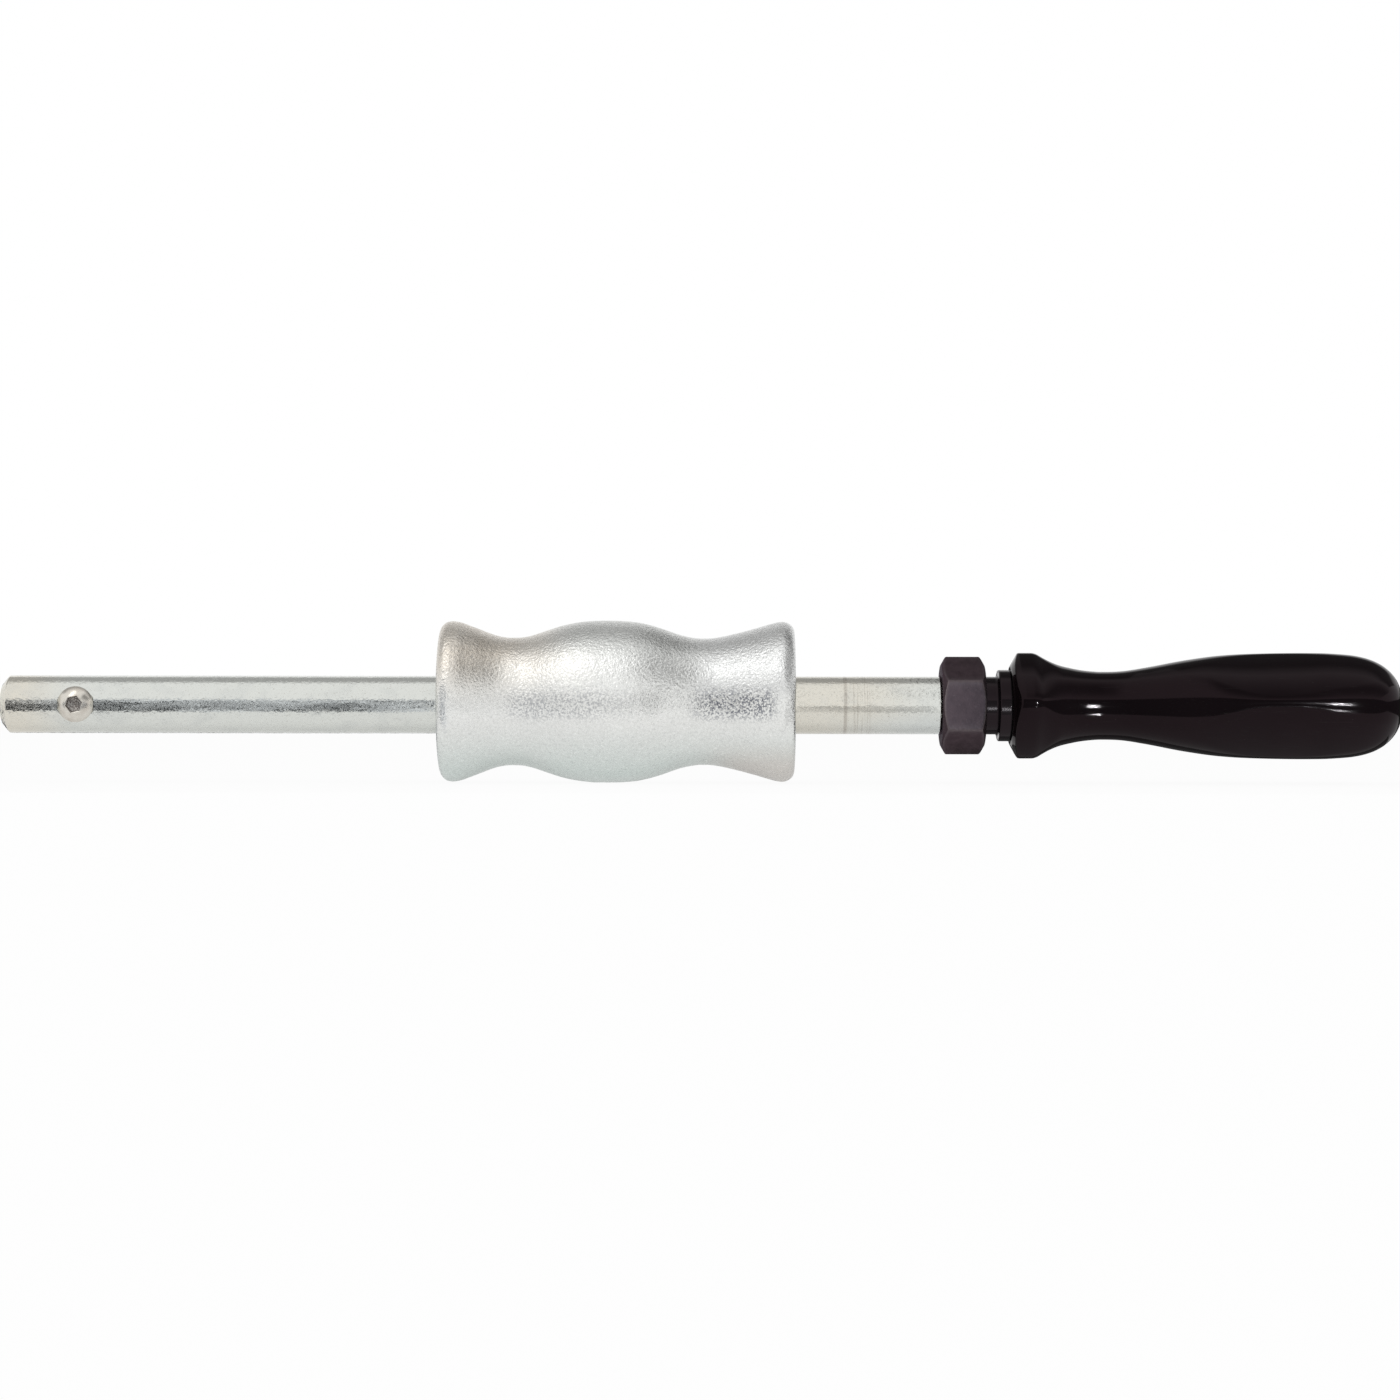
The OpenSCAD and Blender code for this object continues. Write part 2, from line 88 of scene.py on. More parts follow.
# Half the weight's width in millimetres, at places from its front face
WEIGHT_SWELL = (
    (0.0, 20.2), (0.9, 21.4), (2.0, 22.1), (3.4, 22.28), (5.2, 22.08), (8.0, 21.08), (10.8, 20.05),
    (13.6, 18.96), (16.3, 18.13), (19.1, 17.75), (21.9, 17.76), (24.7, 18.21), (27.4, 19.03),
    (30.2, 20.0), (33.0, 20.9), (35.8, 21.6), (38.6, 22.08), (41.3, 22.36), (44.1, 22.48),
    (46.9, 22.5), (49.7, 22.45), (52.4, 22.28), (55.2, 21.92), (58.0, 21.31), (60.8, 20.48),
    (63.6, 19.51), (66.3, 18.61), (69.1, 17.92), (71.9, 17.57), (74.7, 17.6), (77.4, 17.99),
    (80.2, 18.57), (83.0, 19.26), (85.8, 20.0), (88.6, 20.8), (91.3, 21.6), (93.6, 22.15),
    (94.9, 22.25), (96.2, 21.9), (97.2, 21.2), (98.0, 20.2),
)

# Half the grip's width over its ridges in millimetres, at places from its front face
GRIP_SWELL = (
    (6.4, 14.66), (7.3, 14.4), (8.4, 13.78), (9.5, 13.11), (10.7, 12.47), (11.8, 11.96),
    (12.9, 11.5), (14.0, 11.12), (16.8, 10.46), (19.5, 9.93), (22.3, 9.6), (25.1, 9.42),
    (27.9, 9.44), (30.7, 9.58), (33.4, 9.9), (36.2, 10.37), (39.0, 10.86), (41.8, 11.4),
    (44.5, 11.95), (47.3, 12.47), (50.1, 12.93), (52.9, 13.36), (55.7, 13.74), (58.4, 14.03),
    (64.0, 14.42), (69.5, 14.62), (75.1, 14.74), (80.7, 14.79), (86.2, 14.75), (91.8, 14.46),
    (94.5, 14.22), (97.3, 13.75), (100.1, 12.94), (102.9, 11.6), (105.0, 10.0), (106.8, 7.9),
    (107.9, 5.7), (108.6, 3.6), (108.9, 1.8), (109.0, 0.0),
)


# Shapes

def in_mm(length):
    return length / MM


def smooth_curve(points, places):
    """Values at the given places on a smooth curve through the points that adds no peaks."""
    x, y = np.array(points, float).T
    gap = np.diff(x)
    rise = np.diff(y) / gap
    slope = np.zeros_like(y)
    same_way = rise[:-1] * rise[1:] > 0
    near, far = 2 * gap[1:] + gap[:-1], gap[1:] + 2 * gap[:-1]
    before = np.where(same_way, rise[:-1], 1.0)
    after = np.where(same_way, rise[1:], 1.0)
    slope[1:-1] = np.where(same_way, (near + far) / (near / before + far / after), 0.0)
    slope[0], slope[-1] = rise[0], rise[-1]
    i = np.clip(np.searchsorted(x, places, side="right") - 1, 0, len(x) - 2)
    t = (places - x[i]) / gap[i]
    return (
        y[i] * (1 + 2 * t) * (1 - t) ** 2
        + y[i + 1] * t * t * (3 - 2 * t)
        + gap[i] * (slope[i] * t * (1 - t) ** 2 - slope[i + 1] * t * t * (1 - t))
    )


def blurred(values, reach):
    """Values evened out over the given number of neighbours, with their ends kept."""
    weights = np.exp(-np.linspace(-2, 2, 2 * reach + 1) ** 2)
    padded = np.concatenate([2 * values[0] - values[reach:0:-1], values, 2 * values[-1] - values[-2:-reach - 2:-1]])
    return np.convolve(padded, weights / weights.sum(), "valid")


def rounded(corners, steps=5):
    """An outline of places and radii whose corners (place, radius, rounding) are rounded."""
    points = [np.array(c[:2], float) for c in corners]
    outline = [points[0]]
    for before, corner, after, given in zip(points, points[1:], points[2:], corners[1:]):
        if len(given) < 3:
            outline.append(corner)
            continue
        back, ahead = before - corner, after - corner
        back_len, ahead_len = np.linalg.norm(back), np.linalg.norm(ahead)
        back, ahead = back / back_len, ahead / ahead_len
        half = math.acos(float(np.clip(back @ ahead, -1, 1))) / 2
        reach = min(given[2] / math.tan(half), back_len * 0.45, ahead_len * 0.45)
        middle = (back + ahead) / np.linalg.norm(back + ahead)
        centre = corner + middle * reach / math.cos(half)
        first, last = corner + back * reach - centre, corner + ahead * reach - centre
        sweep = math.pi - 2 * half
        outline.append(corner + back * min(reach * 1.3, back_len * 0.49))
        for t in np.linspace(0, 1, steps + 1):
            bent = (math.sin((1 - t) * sweep) * first + math.sin(t * sweep) * last) / math.sin(sweep)
            outline.append(centre + bent)
        outline.append(corner + ahead * min(reach * 1.3, ahead_len * 0.49))
    outline.append(points[-1])
    return np.array(outline)


def around(sides):
    return np.linspace(0, math.tau, sides, endpoint=False)


def turned(outline, sides):
    """Rings around the X axis through the outline's places and radii."""
    angles = around(sides)
    place = np.repeat(outline[:, :1], sides, 1)
    return np.stack([place, outline[:, 1:] * np.cos(angles), outline[:, 1:] * np.sin(angles)], -1)


def ring_of(place, radius, angles):
    return np.stack([np.broadcast_to(place, angles.shape), radius * np.cos(angles), radius * np.sin(angles)], -1)


def thread_radius(place, angle, start, end, root, pitch):
    """Radius on a right-hand thread with 60 degree flanks, which fades in and out at its ends."""
    depth = pitch * 0.3125 / math.tan(math.radians(30))
    phase = (place / pitch - angle / math.tau) % 1.0
    height = np.clip((0.75 - 2 * np.abs(phase - 0.5)) / 0.625, 0, 1)
    fade = np.clip(np.minimum(place - start, end - place) / (pitch * 0.6), 0, 1)
    return root + depth * height * fade


def threaded(start, end, root, pitch, sides, per_turn=10):
    """Rings of a threaded stretch along X."""
    places = np.linspace(start, end, int(abs(end - start) / pitch * per_turn) + 1)
    angles = around(sides)
    low, high = min(start, end), max(start, end)
    radius = thread_radius(places[:, None], angles[None], low, high, root, pitch)
    place = np.repeat(places[:, None], sides, 1)
    return np.stack([place, radius * np.cos(angles), radius * np.sin(angles)], -1)


def skin(name, rings, closed=False, wear_and_shade=None, sharp=50):
    """A mesh object through rings of points in millimetres. Material lies to the right of their path."""
    rings = np.asarray(rings, float)
    count, sides = rings.shape[:2]
    last = count if closed else count - 1
    start = np.arange(last)[:, None] * sides
    after = (np.arange(last)[:, None] + 1) % count * sides
    side = np.arange(sides)[None]
    beside = (side + 1) % sides
    quads = np.stack([start + side, start + beside, after + beside, after + side], -1).reshape(-1, 4)
    mesh = bpy.data.meshes.new(name)
    mesh.from_pydata((rings.reshape(-1, 3) * MM).tolist(), [], quads.tolist())
    if wear_and_shade is not None:
        layer = mesh.attributes.new("wear_and_shade", "FLOAT", "POINT")
        layer.data.foreach_set("value", np.clip(wear_and_shade, 0, 1).astype(np.float32).ravel())
    mesh.update()
    mesh.polygons.foreach_set("use_smooth", np.ones(len(mesh.polygons), bool))
    mesh.set_sharp_from_angle(angle=math.radians(sharp))
    piece = bpy.data.objects.new(name, mesh)
    bpy.context.scene.collection.objects.link(piece)
    return piece


def grain(points, size, seed):
    """Even noise from -1 to 1 at points in millimetres, with grains of about the given size."""
    shift = Vector((seed * 7.3, seed * 3.1, seed * 5.7))
    flat = (points.reshape(-1, 3) / size).tolist()
    values = np.array([noise.noise(Vector(p) + shift) for p in flat])
    return values.reshape(points.shape[:-1])


def dress(piece, material, body, node):
    """Gives a piece its material and lets it stand for a node of the frame."""
    piece.data.materials.append(material)
    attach(piece, body)
    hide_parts(node)


# Finishes

class Value:
    """A socket of numbers in a finish. Python's operators add Math nodes to it."""

    def __init__(self, finish, socket):
        self.finish = finish
        self.socket = socket

    def maths(self, operation, *terms):
        node = self.finish.add("ShaderNodeMath", {"operation": operation}, dict(enumerate(terms)))
        return Value(self.finish, node.outputs[0])

    def __add__(self, other):
        return self.maths("ADD", self, other)

    def __radd__(self, other):
        return self.maths("ADD", other, self)

    def __sub__(self, other):
        return self.maths("SUBTRACT", self, other)

    def __rsub__(self, other):
        return self.maths("SUBTRACT", other, self)

    def __mul__(self, other):
        return self.maths("MULTIPLY", self, other)

    def __rmul__(self, other):
        return self.maths("MULTIPLY", other, self)

    def __truediv__(self, other):
        return self.maths("DIVIDE", self, other)

    def least(self, other):
        return self.maths("MINIMUM", self, other)

    def most(self, other):
        return self.maths("MAXIMUM", self, other)

    def size(self):
        return self.maths("ABSOLUTE", self)

    def step(self, low, high):
        """0 below low, 1 above high and a soft rise between them."""
        node = self.finish.add(
            "ShaderNodeMapRange",
            {"interpolation_type": "SMOOTHSTEP"},
            {"Value": self, "From Min": low, "From Max": high},
        )
        return Value(self.finish, node.outputs[0])


class Finish:
    """Builds the nodes of a new material, or of the world it is given."""

    def __init__(self, name, world=None):
        self.material = bpy.data.materials.new(name) if world is None else world
        self.material.use_nodes = True
        self.tree = self.material.node_tree
        self.tree.nodes.clear()
        self.places = self.add("ShaderNodeTexCoord").outputs["Object"]

    def add(self, kind, settings=None, sockets=None):
        """A node of the given type, with its settings and then the values or links of its sockets."""
        node = self.tree.nodes.new(kind)
        for key, value in (settings or {}).items():
            setattr(node, key, value)
        for key, value in (sockets or {}).items():
            socket = node.inputs[key]
            source = value.socket if isinstance(value, Value) else value
            if isinstance(source, bpy.types.NodeSocket):
                self.tree.links.new(source, socket)
            else:
                socket.default_value = source
        return node

    def along(self, axis):
        """Place along an axis, in metres."""
        node = self.add("ShaderNodeSeparateXYZ", None, {0: self.places})
        return Value(self, node.outputs[axis])

    def stretched(self, x, y, z):
        """The piece's places, scaled along each axis."""
        node = self.add("ShaderNodeVectorMath", {"operation": "MULTIPLY"}, {0: self.places, 1: (x, y, z)})
        return node.outputs[0]

    def noise(self, size, detail=2.0, rough=0.5, stretch=None):
        """Noise from 0 to 1 with features of about the given size in millimetres."""
        places = self.stretched(*stretch) if stretch else self.places
        node = self.add(
            "ShaderNodeTexNoise",
            {"normalize": True},
            {"Vector": places, "Scale": 1 / (size * MM), "Detail": detail, "Roughness": rough},
        )
        return Value(self, node.outputs["Fac"])

    # Edge wear on the nut and painted shade in the screw's socket.
    def wear_and_shade(self):
        node = self.add("ShaderNodeAttribute", {"attribute_name": "wear_and_shade"})
        return Value(self, node.outputs["Fac"])

    def mix(self, factor, low, high):
        """A colour between two colours."""
        node = self.add(
            "ShaderNodeMix", {"data_type": "RGBA"},
            {0: factor, 6: self.colour(low), 7: self.colour(high)},
        )
        return node.outputs[2]

    @staticmethod
    def colour(value):
        return value if isinstance(value, bpy.types.NodeSocket) else (*value[:3], 1.0)

    def bump(self, height, depth):
        """A bump of the given depth in millimetres."""
        sockets = {"Height": height, "Distance": depth * MM, "Strength": 1.0}
        return self.add("ShaderNodeBump", None, sockets).outputs[0]

    def surface(self, sockets):
        """Ends the material with its shader."""
        shader = self.add("ShaderNodeBsdfPrincipled", None, sockets)
        self.add("ShaderNodeOutputMaterial", None, {"Surface": shader.outputs[0]})
        return self.material


def shade(colour, share):
    """A colour made darker or paler."""
    return tuple(min(1.0, part * share) for part in colour)


def zinc_bar(colour):
    """Bright zinc on a drawn bar, with sparkling grain, stains, draw lines and rubbed rings, painted shade along its
    top behind the weight and a painted bluish reflection on its underside.
    """
    f = Finish("zinc_plated_bar")
    x, z = f.along(0), f.along(2)
    lines = f.noise(1.0, 3.0, 0.6, (0.03, 5.0, 5.0))
    rings = f.noise(1.0, 2.0, 0.6, (3.0, 0.04, 0.04))
    speckle = f.noise(0.8, 1.0, 0.5, (0.8, 1.0, 1.0))
    fine = f.noise(0.45, 1.0, 0.5)
    matt = f.noise(0.55, 2.0, 0.6, (0.7, 1.0, 1.0)).step(0.5, 0.6)
    cloud = f.noise(9.0, 3.0, 0.6)
    stains = f.noise(5.0, 2.0, 0.5, (0.7, 1.0, 1.0)).step(0.5, 0.66)
    pits = 1 - f.noise(0.4, 1.0).step(0.24, 0.34)
    groove = 1 - ((x - 0.2334) / 0.0007).size().step(0.3, 1.0)
    beside = 1 - ((x - 0.2375) / 0.004).size().step(0.3, 1.0)
    rubbed = (groove * 0.7 + beside * rings.step(0.5, 0.6) * 0.5) * (0.4 + 1.2 * cloud)
    warm = (x.step(0.2, 0.216) * (1 - x.step(0.235, 0.26)) * 0.8).most((1 - x.step(0.004, 0.022)) * 0.9)
    # Painted reflection: the underside of the bar behind the weight is tinted bluish.
    painted_bluish_reflection = (0.0 - z).step(0.001, 0.006) * x.step(0.22, 0.25) * 0.5
    base = f.mix(warm, colour, (0.74, 0.70, 0.61))
    base = f.mix(painted_bluish_reflection, base, (0.64, 0.68, 0.68))
    # Painted shade: the top of the bar behind the weight is darkened.
    base = f.mix(z.step(0.0042, 0.0079) * x.step(0.215, 0.22) * 0.35, base, (0.42, 0.40, 0.36))
    base = f.mix(fine.step(0.3, 0.7) * 0.25, base, shade(colour, 0.84))
    base = f.mix(stains * 0.16, base, (0.50, 0.52, 0.52))
    base = f.mix((pits * 0.45 + rubbed * 0.55).least(1.0), base, (0.30, 0.26, 0.22))
    rough = 0.03 + 0.04 * fine + 0.22 * matt + 0.03 * cloud + 0.06 * stains + 0.12 * rubbed
    height = speckle + 0.16 * fine + lines * 0.08 + rings * 0.05 - pits * 0.2
    return f.surface({
        "Base Color": base, "Metallic": 1.0, "Roughness": rough, "Normal": f.bump(height, 0.06),
    })


def zinc_casting(colour):
    """Zinc over a granular casting, with a painted warm reflection on its upper left, a painted bluish reflection
    underneath, painted shade at its top, upper right and lower right, and painted dark reflection specks across its
    waists.
    """
    f = Finish("zinc_plated_casting")
    x, y, z = f.along(0), f.along(1), f.along(2)
    grains = f.noise(0.8, 2.0, 0.55)
    fine = f.noise(0.45, 2.0, 0.6)
    tone = f.noise(0.6, 3.0, 0.7)
    cloud = f.noise(14.0, 3.0, 0.55)
    patches = f.noise(4.0, 2.0, 0.5)
    pits = 1 - f.noise(0.7, 2.0, 0.55).step(0.3, 0.42)
    matt = f.noise(0.75, 3.0, 0.7).step(0.4, 0.64)
    # Painted reflections: a tan tint on the upper left and a bluish tint underneath.
    tan = z.step(-0.002, 0.016) * (1 - x.step(0.135, 0.172)) * (0.4 + cloud)
    bluish = (0.0 - z).step(0.004, 0.019) * (0.5 + 0.8 * cloud)
    # Painted shade: darker on the lower right and on the upper right.
    painted_shade_lower_right = (0.0 - z).step(0.008, 0.018) * x.step(0.19, 0.205)
    painted_shade_upper_right = z.step(0.0, 0.006) * x.step(0.185, 0.197)
    smooth = (0.0 - z).step(0.0, 0.008)
    base = f.mix(cloud.step(0.3, 0.7) * 0.5, colour, shade(colour, 1.1))
    # Painted warm and bluish reflections laid into the colour.
    base = f.mix(tan.least(1.0) * 0.85, base, (0.62, 0.55, 0.46))
    base = f.mix(bluish.least(1.0) * 0.75, base, (0.6, 0.68, 0.65))
    # Painted shade on the lower and upper right.
    base = f.mix(painted_shade_lower_right * 0.7, base, (0.66, 0.6, 0.56))
    base = f.mix(painted_shade_upper_right * 0.8, base, (0.64, 0.645, 0.64))
    # Painted shade along the top of the belly.
    painted_shade_on_top = z.step(0.01, 0.018) * x.step(0.148, 0.16) * (1.0 - x.step(0.182, 0.2))
    base = f.mix(painted_shade_on_top * 0.8, base, (0.62, 0.63, 0.61))
    # Painted dark reflection: dark specks in a band at mid height on the front of the waists.
    middle = z.step(-0.0058, -0.0014) * (1.0 - z.step(0.001, 0.007)) * (0.0 - y).step(0.008, 0.014)
    places = x.step(0.188, 0.197) * (1.0 - x.step(0.211, 0.216))
    places = places.most(x.step(0.136, 0.145) * (1.0 - x.step(0.16, 0.185)) * 0.5)
    painted_dark_reflection_specks = f.noise(0.55, 1.5, 0.6).step(0.49, 0.56) * middle * places
    base = f.mix(painted_dark_reflection_specks * 0.9, base, (0.16, 0.17, 0.21))
    base = f.mix((1 - tone.step(0.34, 0.56)) * 0.3, base, shade(colour, 0.7))
    base = f.mix(tone.step(0.55, 0.7) * 0.5, base, (0.95, 0.955, 0.94))
    base = f.mix(pits * 0.15, base, (0.26, 0.27, 0.30))
    rough = 0.19 + 0.12 * matt + 0.05 * patches + 0.1 * pits
    height = (grains + 0.5 * fine) * (1.0 - 0.7 * smooth) - 0.1 * pits
    return f.surface({
        "Base Color": base, "Metallic": 1.0, "Roughness": rough, "Normal": f.bump(height, 0.2),
    })


def zinc_screw(colour):
    """Zinc on a cold-formed screw, a little duller than the bar, with painted shade in its key socket."""
    f = Finish("zinc_plated_screw")
    speckle = f.noise(0.4, 3.0, 0.65)
    cloud = f.noise(2.5, 2.0, 0.5)
    socket_grime_and_shade = f.noise(0.42, 1.0, 0.5).step(0.42, 0.6)
    # Painted shade: the socket's inside is darkened, speckled between two dark tones.
    inside = f.wear_and_shade()
    base = f.mix(cloud.step(0.35, 0.7) * 0.6, colour, (0.52, 0.47, 0.41))
    base = f.mix(inside, base, f.mix(socket_grime_and_shade, (0.3, 0.27, 0.25), (0.62, 0.59, 0.55)))
    rough = 0.16 + 0.12 * speckle + 0.3 * inside
    return f.surface({
        "Base Color": base, "Metallic": 1.0, "Roughness": rough, "Normal": f.bump(speckle, 0.03),
    })


def browned_steel(colour):
    """Browned steel with a fine tooth, whose edges are rubbed a little paler."""
    f = Finish("browned_steel")
    mottle = f.noise(2.2, 4.0, 0.6)
    fine = f.noise(0.5, 2.0, 0.6)
    worn = (f.wear_and_shade() * (0.3 + 1.1 * f.noise(0.8, 2.0))).least(1.0)
    specks = f.noise(0.5, 1.0).step(0.66, 0.76)
    base = f.mix(mottle.step(0.3, 0.7), colour, shade(colour, 1.3))
    base = f.mix(worn * 0.3 + specks * 0.12, base, (0.26, 0.235, 0.24))
    rough = 0.34 + 0.14 * mottle
    return f.surface({
        "Base Color": base, "Metallic": 0.85, "Roughness": rough, "Specular IOR Level": 0.3,
        "Specular Tint": (0.25, 0.22, 0.265, 1.0),
        "Normal": f.bump(fine + 0.5 * mottle, 0.05),
    })


def gloss_black(name, colour, dust):
    """Gloss black with faint flow, hairlines and a few specks of dust."""
    f = Finish(name)
    flow = f.noise(18.0, 2.0, 0.5)
    peel = f.noise(2.4, 1.0, 0.4)
    hairs = f.noise(1.0, 2.0, 0.7, (0.05, 4.0, 4.0)).step(0.62, 0.74)
    specks = f.noise(0.45, 0.0).step(0.87, 0.95)
    base = f.mix(flow.step(0.3, 0.7) * 0.5, colour, shade(colour, 1.4))
    base = f.mix(specks * dust * 0.5 + hairs * dust * 0.06, base, (0.06, 0.052, 0.05))
    rough = 0.07 + 0.05 * flow + 0.06 * hairs * dust + 0.06 * specks
    return f.surface({
        "Base Color": base, "Roughness": rough, "Specular IOR Level": 0.125,
        "Specular Tint": (1.0, 0.67, 0.76, 1.0), "Normal": f.bump(peel, 0.0006),
    })


def turned_steel(colour):
    """Plain steel with the rings that a lathe leaves."""
    f = Finish("turned_steel")
    rings = f.noise(1.0, 2.0, 0.6, (6.0, 0.05, 0.05))
    cloud = f.noise(5.0, 2.0, 0.5)
    base = f.mix(cloud.step(0.3, 0.7) * 0.4, colour, (0.46, 0.45, 0.43))
    return f.surface({
        "Base Color": base, "Metallic": 1.0, "Roughness": 0.3 + 0.15 * rings,
        "Normal": f.bump(rings, 0.02),
    })


# Sizes and colours

def length(name, description, default):
    return FloatProperty(name=name, description=description, default=default, unit="LENGTH", precision=5, min=0)


def tint(name, description, default):
    return FloatVectorProperty(
        name=name, description=description, default=default, subtype="COLOR", size=3, min=0, max=1
    )


class RodSizes(bpy.types.PropertyGroup):
    """Sizes and colour of the guide rod and its stop screw"""

    diameter: length("Diameter", "Diameter of the plain rod", 2 * ROD_BOX[1].y)
    plain_length: length("Plain length", "Length from the front face to the nut", NUT_BOX[0].x)
    tip_face: length("Tip face", "Diameter of the flat front face", 0.0114)
    tip_chamfer: length("Tip chamfer", "Length of the chamfer at the front", 0.0019)
    socket: length("Socket", "Drilled diameter of the tool socket", 0.0068)
    socket_pitch: length("Socket pitch", "Pitch of the tool socket's thread", 0.00125)
    screw_place: length("Screw place", "Distance from the front face to the stop screw", 0.0213)
    head: length("Screw head", "Diameter of the screw's domed head", 0.0099)
    key: length("Screw key", "Width across the flats of the screw's hexagon socket", 0.004)
    colour: tint("Colour", "Colour of the rod's zinc", (0.72, 0.735, 0.70))
    screw_colour: tint("Screw colour", "Colour of the screw's zinc", (0.70, 0.67, 0.61))


class WeightSizes(bpy.types.PropertyGroup):
    """Sizes and colour of the cast weight"""

    bore: length("Bore", "Diameter of the bore", 0.018)
    swell: FloatProperty(
        name="Swell", description="Share by which the outline is wider",
        default=1.0, subtype="FACTOR", min=0.8, max=1.2,
    )
    roughness: length("Casting roughness", "Depth of the casting's grains", 0.00006)
    sides: IntProperty(name="Sides", description="Number of sides around the weight", default=384, min=48, max=720)
    colour: tint("Colour", "Colour of the weight's zinc", (0.82, 0.825, 0.805))


class NutSizes(bpy.types.PropertyGroup):
    """Sizes and colour of the stop nut"""

    width: length("Width", "Width across the flats", NUT_BOX[1].y - NUT_BOX[0].y)
    thickness: length("Thickness", "Thickness of the nut", NUT_BOX[1].x - NUT_BOX[0].x)
    colour: tint("Colour", "Colour of the browned steel", (0.070, 0.052, 0.058))


class HandleSizes(bpy.types.PropertyGroup):
    """Sizes and colours of the ferrule, the insert and the grip"""

    neck: length("Neck", "Diameter of the ferrule's neck", 0.016)
    neck_length: length("Neck length", "Length of the ferrule's neck", 0.0038)
    collar: length("Collar", "Diameter of the ferrule's collar", FERRULE_BOX[1].y - FERRULE_BOX[0].y)
    flange: length("Flange", "Width of the grip's flange over its ridges", 0.0294)
    grip_face: length("Grip face", "Diameter of the grip's front face", 0.0216)
    ferrule_colour: tint("Ferrule colour", "Colour of the ferrule", (0.0030, 0.0018, 0.0022))
    grip_colour: tint("Grip colour", "Colour of the grip", (0.0034, 0.0019, 0.0024))
    turn: FloatProperty(
        name="Turn", description="Turn of the grip about the rod, where it stopped on its stud",
        default=math.radians(4.7), subtype="ANGLE",
    )
    insert_colour: tint("Insert colour", "Colour of the steel insert", (0.55, 0.55, 0.53))


class StageSizes(bpy.types.PropertyGroup):
    """Camera and light"""

    distance: length("Camera distance", "Distance from the camera to the rod's axis", 0.889)
    view_width: length("View width", "Width that the picture shows at the rod", 0.38889)
    world_light: FloatProperty(
        name="Room light", description="Light of the room on dull surfaces", default=0.72, min=0,
    )
    key_light: FloatProperty(
        name="Key light", description="Power of the large soft lamp", default=2.0, unit="POWER", min=0,
    )
    spot_light: FloatProperty(
        name="Spot light", description="Power of the handle's spot lamp", default=34.0, unit="POWER", min=0,
    )
    floor_colour: tint("Floor colour", "Colour of the floor", (0.9, 0.9, 0.9))


# Pieces

class PULLER_OT_rod(bpy.types.Operator):
    """Adds the guide rod with its tool socket, screw seat, run-out and threads"""

    bl_idname = "puller.rod"
    bl_label = "Guide Rod"

    def execute(self, context):
        s = context.scene.puller_rod
        sides = 144
        rod_r = in_mm(s.diameter) / 2
        nut_x = in_mm(s.plain_length)
        socket_r = in_mm(s.socket) / 2
        pitch = in_mm(s.socket_pitch)
        turns = 11
        depth = turns * pitch
        countersink = 0.9
        mouth_r = socket_r + countersink
        tip_r = in_mm(s.tip_face) / 2
        chamfer = in_mm(s.tip_chamfer)
        screw_x = in_mm(s.screw_place)
        drill_point = socket_r / math.tan(math.radians(59))
        drill = turned(np.array([(depth + drill_point, POINT_R), (depth, socket_r)]), sides)
        socket = threaded(depth - 0.1, 0.0, socket_r, pitch, sides, 12)
        cone = mouth_r - socket[..., 0]
        reach = np.hypot(socket[..., 1], socket[..., 2])
        socket[..., 1:] *= (np.maximum(reach, cone) / reach)[..., None]
        anvil_pitch, stud_pitch = 2.0, 1.75
        anvil_r = rod_r - 1.133
        shoulder_r, stud_r, tail_r = 5.95, 4.94, 4.5
        groove = 0.45
        ahead = rounded([
            (0.0, mouth_r), (0.0, tip_r, 0.12), (chamfer, rod_r, 0.8), (14.0, rod_r),
        ])
        seat_places = np.arange(14.2, 27.6, 0.15)
        plain_places = np.linspace(28, nut_x - 2, 60)
        body = turned(np.concatenate([
            ahead,
            np.stack([seat_places, np.full_like(seat_places, rod_r)], 1),
            np.stack([plain_places, np.full_like(plain_places, rod_r)], 1),
            rounded([
                (nut_x - 1.8, rod_r), (nut_x - groove, rod_r, 0.12), (nut_x + 0.25, anvil_r, 0.1),
                (nut_x + 0.4, anvil_r),
            ]),
        ]), sides)
        seat_y = -(rod_r - SEAT_DEPTH)
        under_head = np.hypot(body[..., 0] - screw_x, body[..., 2]) < in_mm(s.head) / 2 + 0.04
        body[..., 1] = np.where(under_head & (body[..., 1] < seat_y), seat_y, body[..., 1])
        anvil_end = in_mm(FERRULE_BOX[0].x)
        grip_x = in_mm(GRIP_BOX[0].x)
        end = in_mm(ROD_BOX[1].x)
        anvil = threaded(nut_x + 0.5, anvil_end, anvil_r, anvil_pitch, sides)
        shoulder = turned(np.array([(anvil_end + 0.01, shoulder_r), (grip_x, shoulder_r)]), sides)
        stud = threaded(grip_x + 0.1, end - 0.4, stud_r, stud_pitch, sides)
        tail = turned(np.array([(end, tail_r), (end, POINT_R)]), sides)
        rod = skin("guide_rod_bar", np.concatenate([drill, socket, body, anvil, shoulder, stud, tail]), sharp=40)
        dress(rod, zinc_bar(s.colour), "rod", "guide_rod")
        return {"FINISHED"}


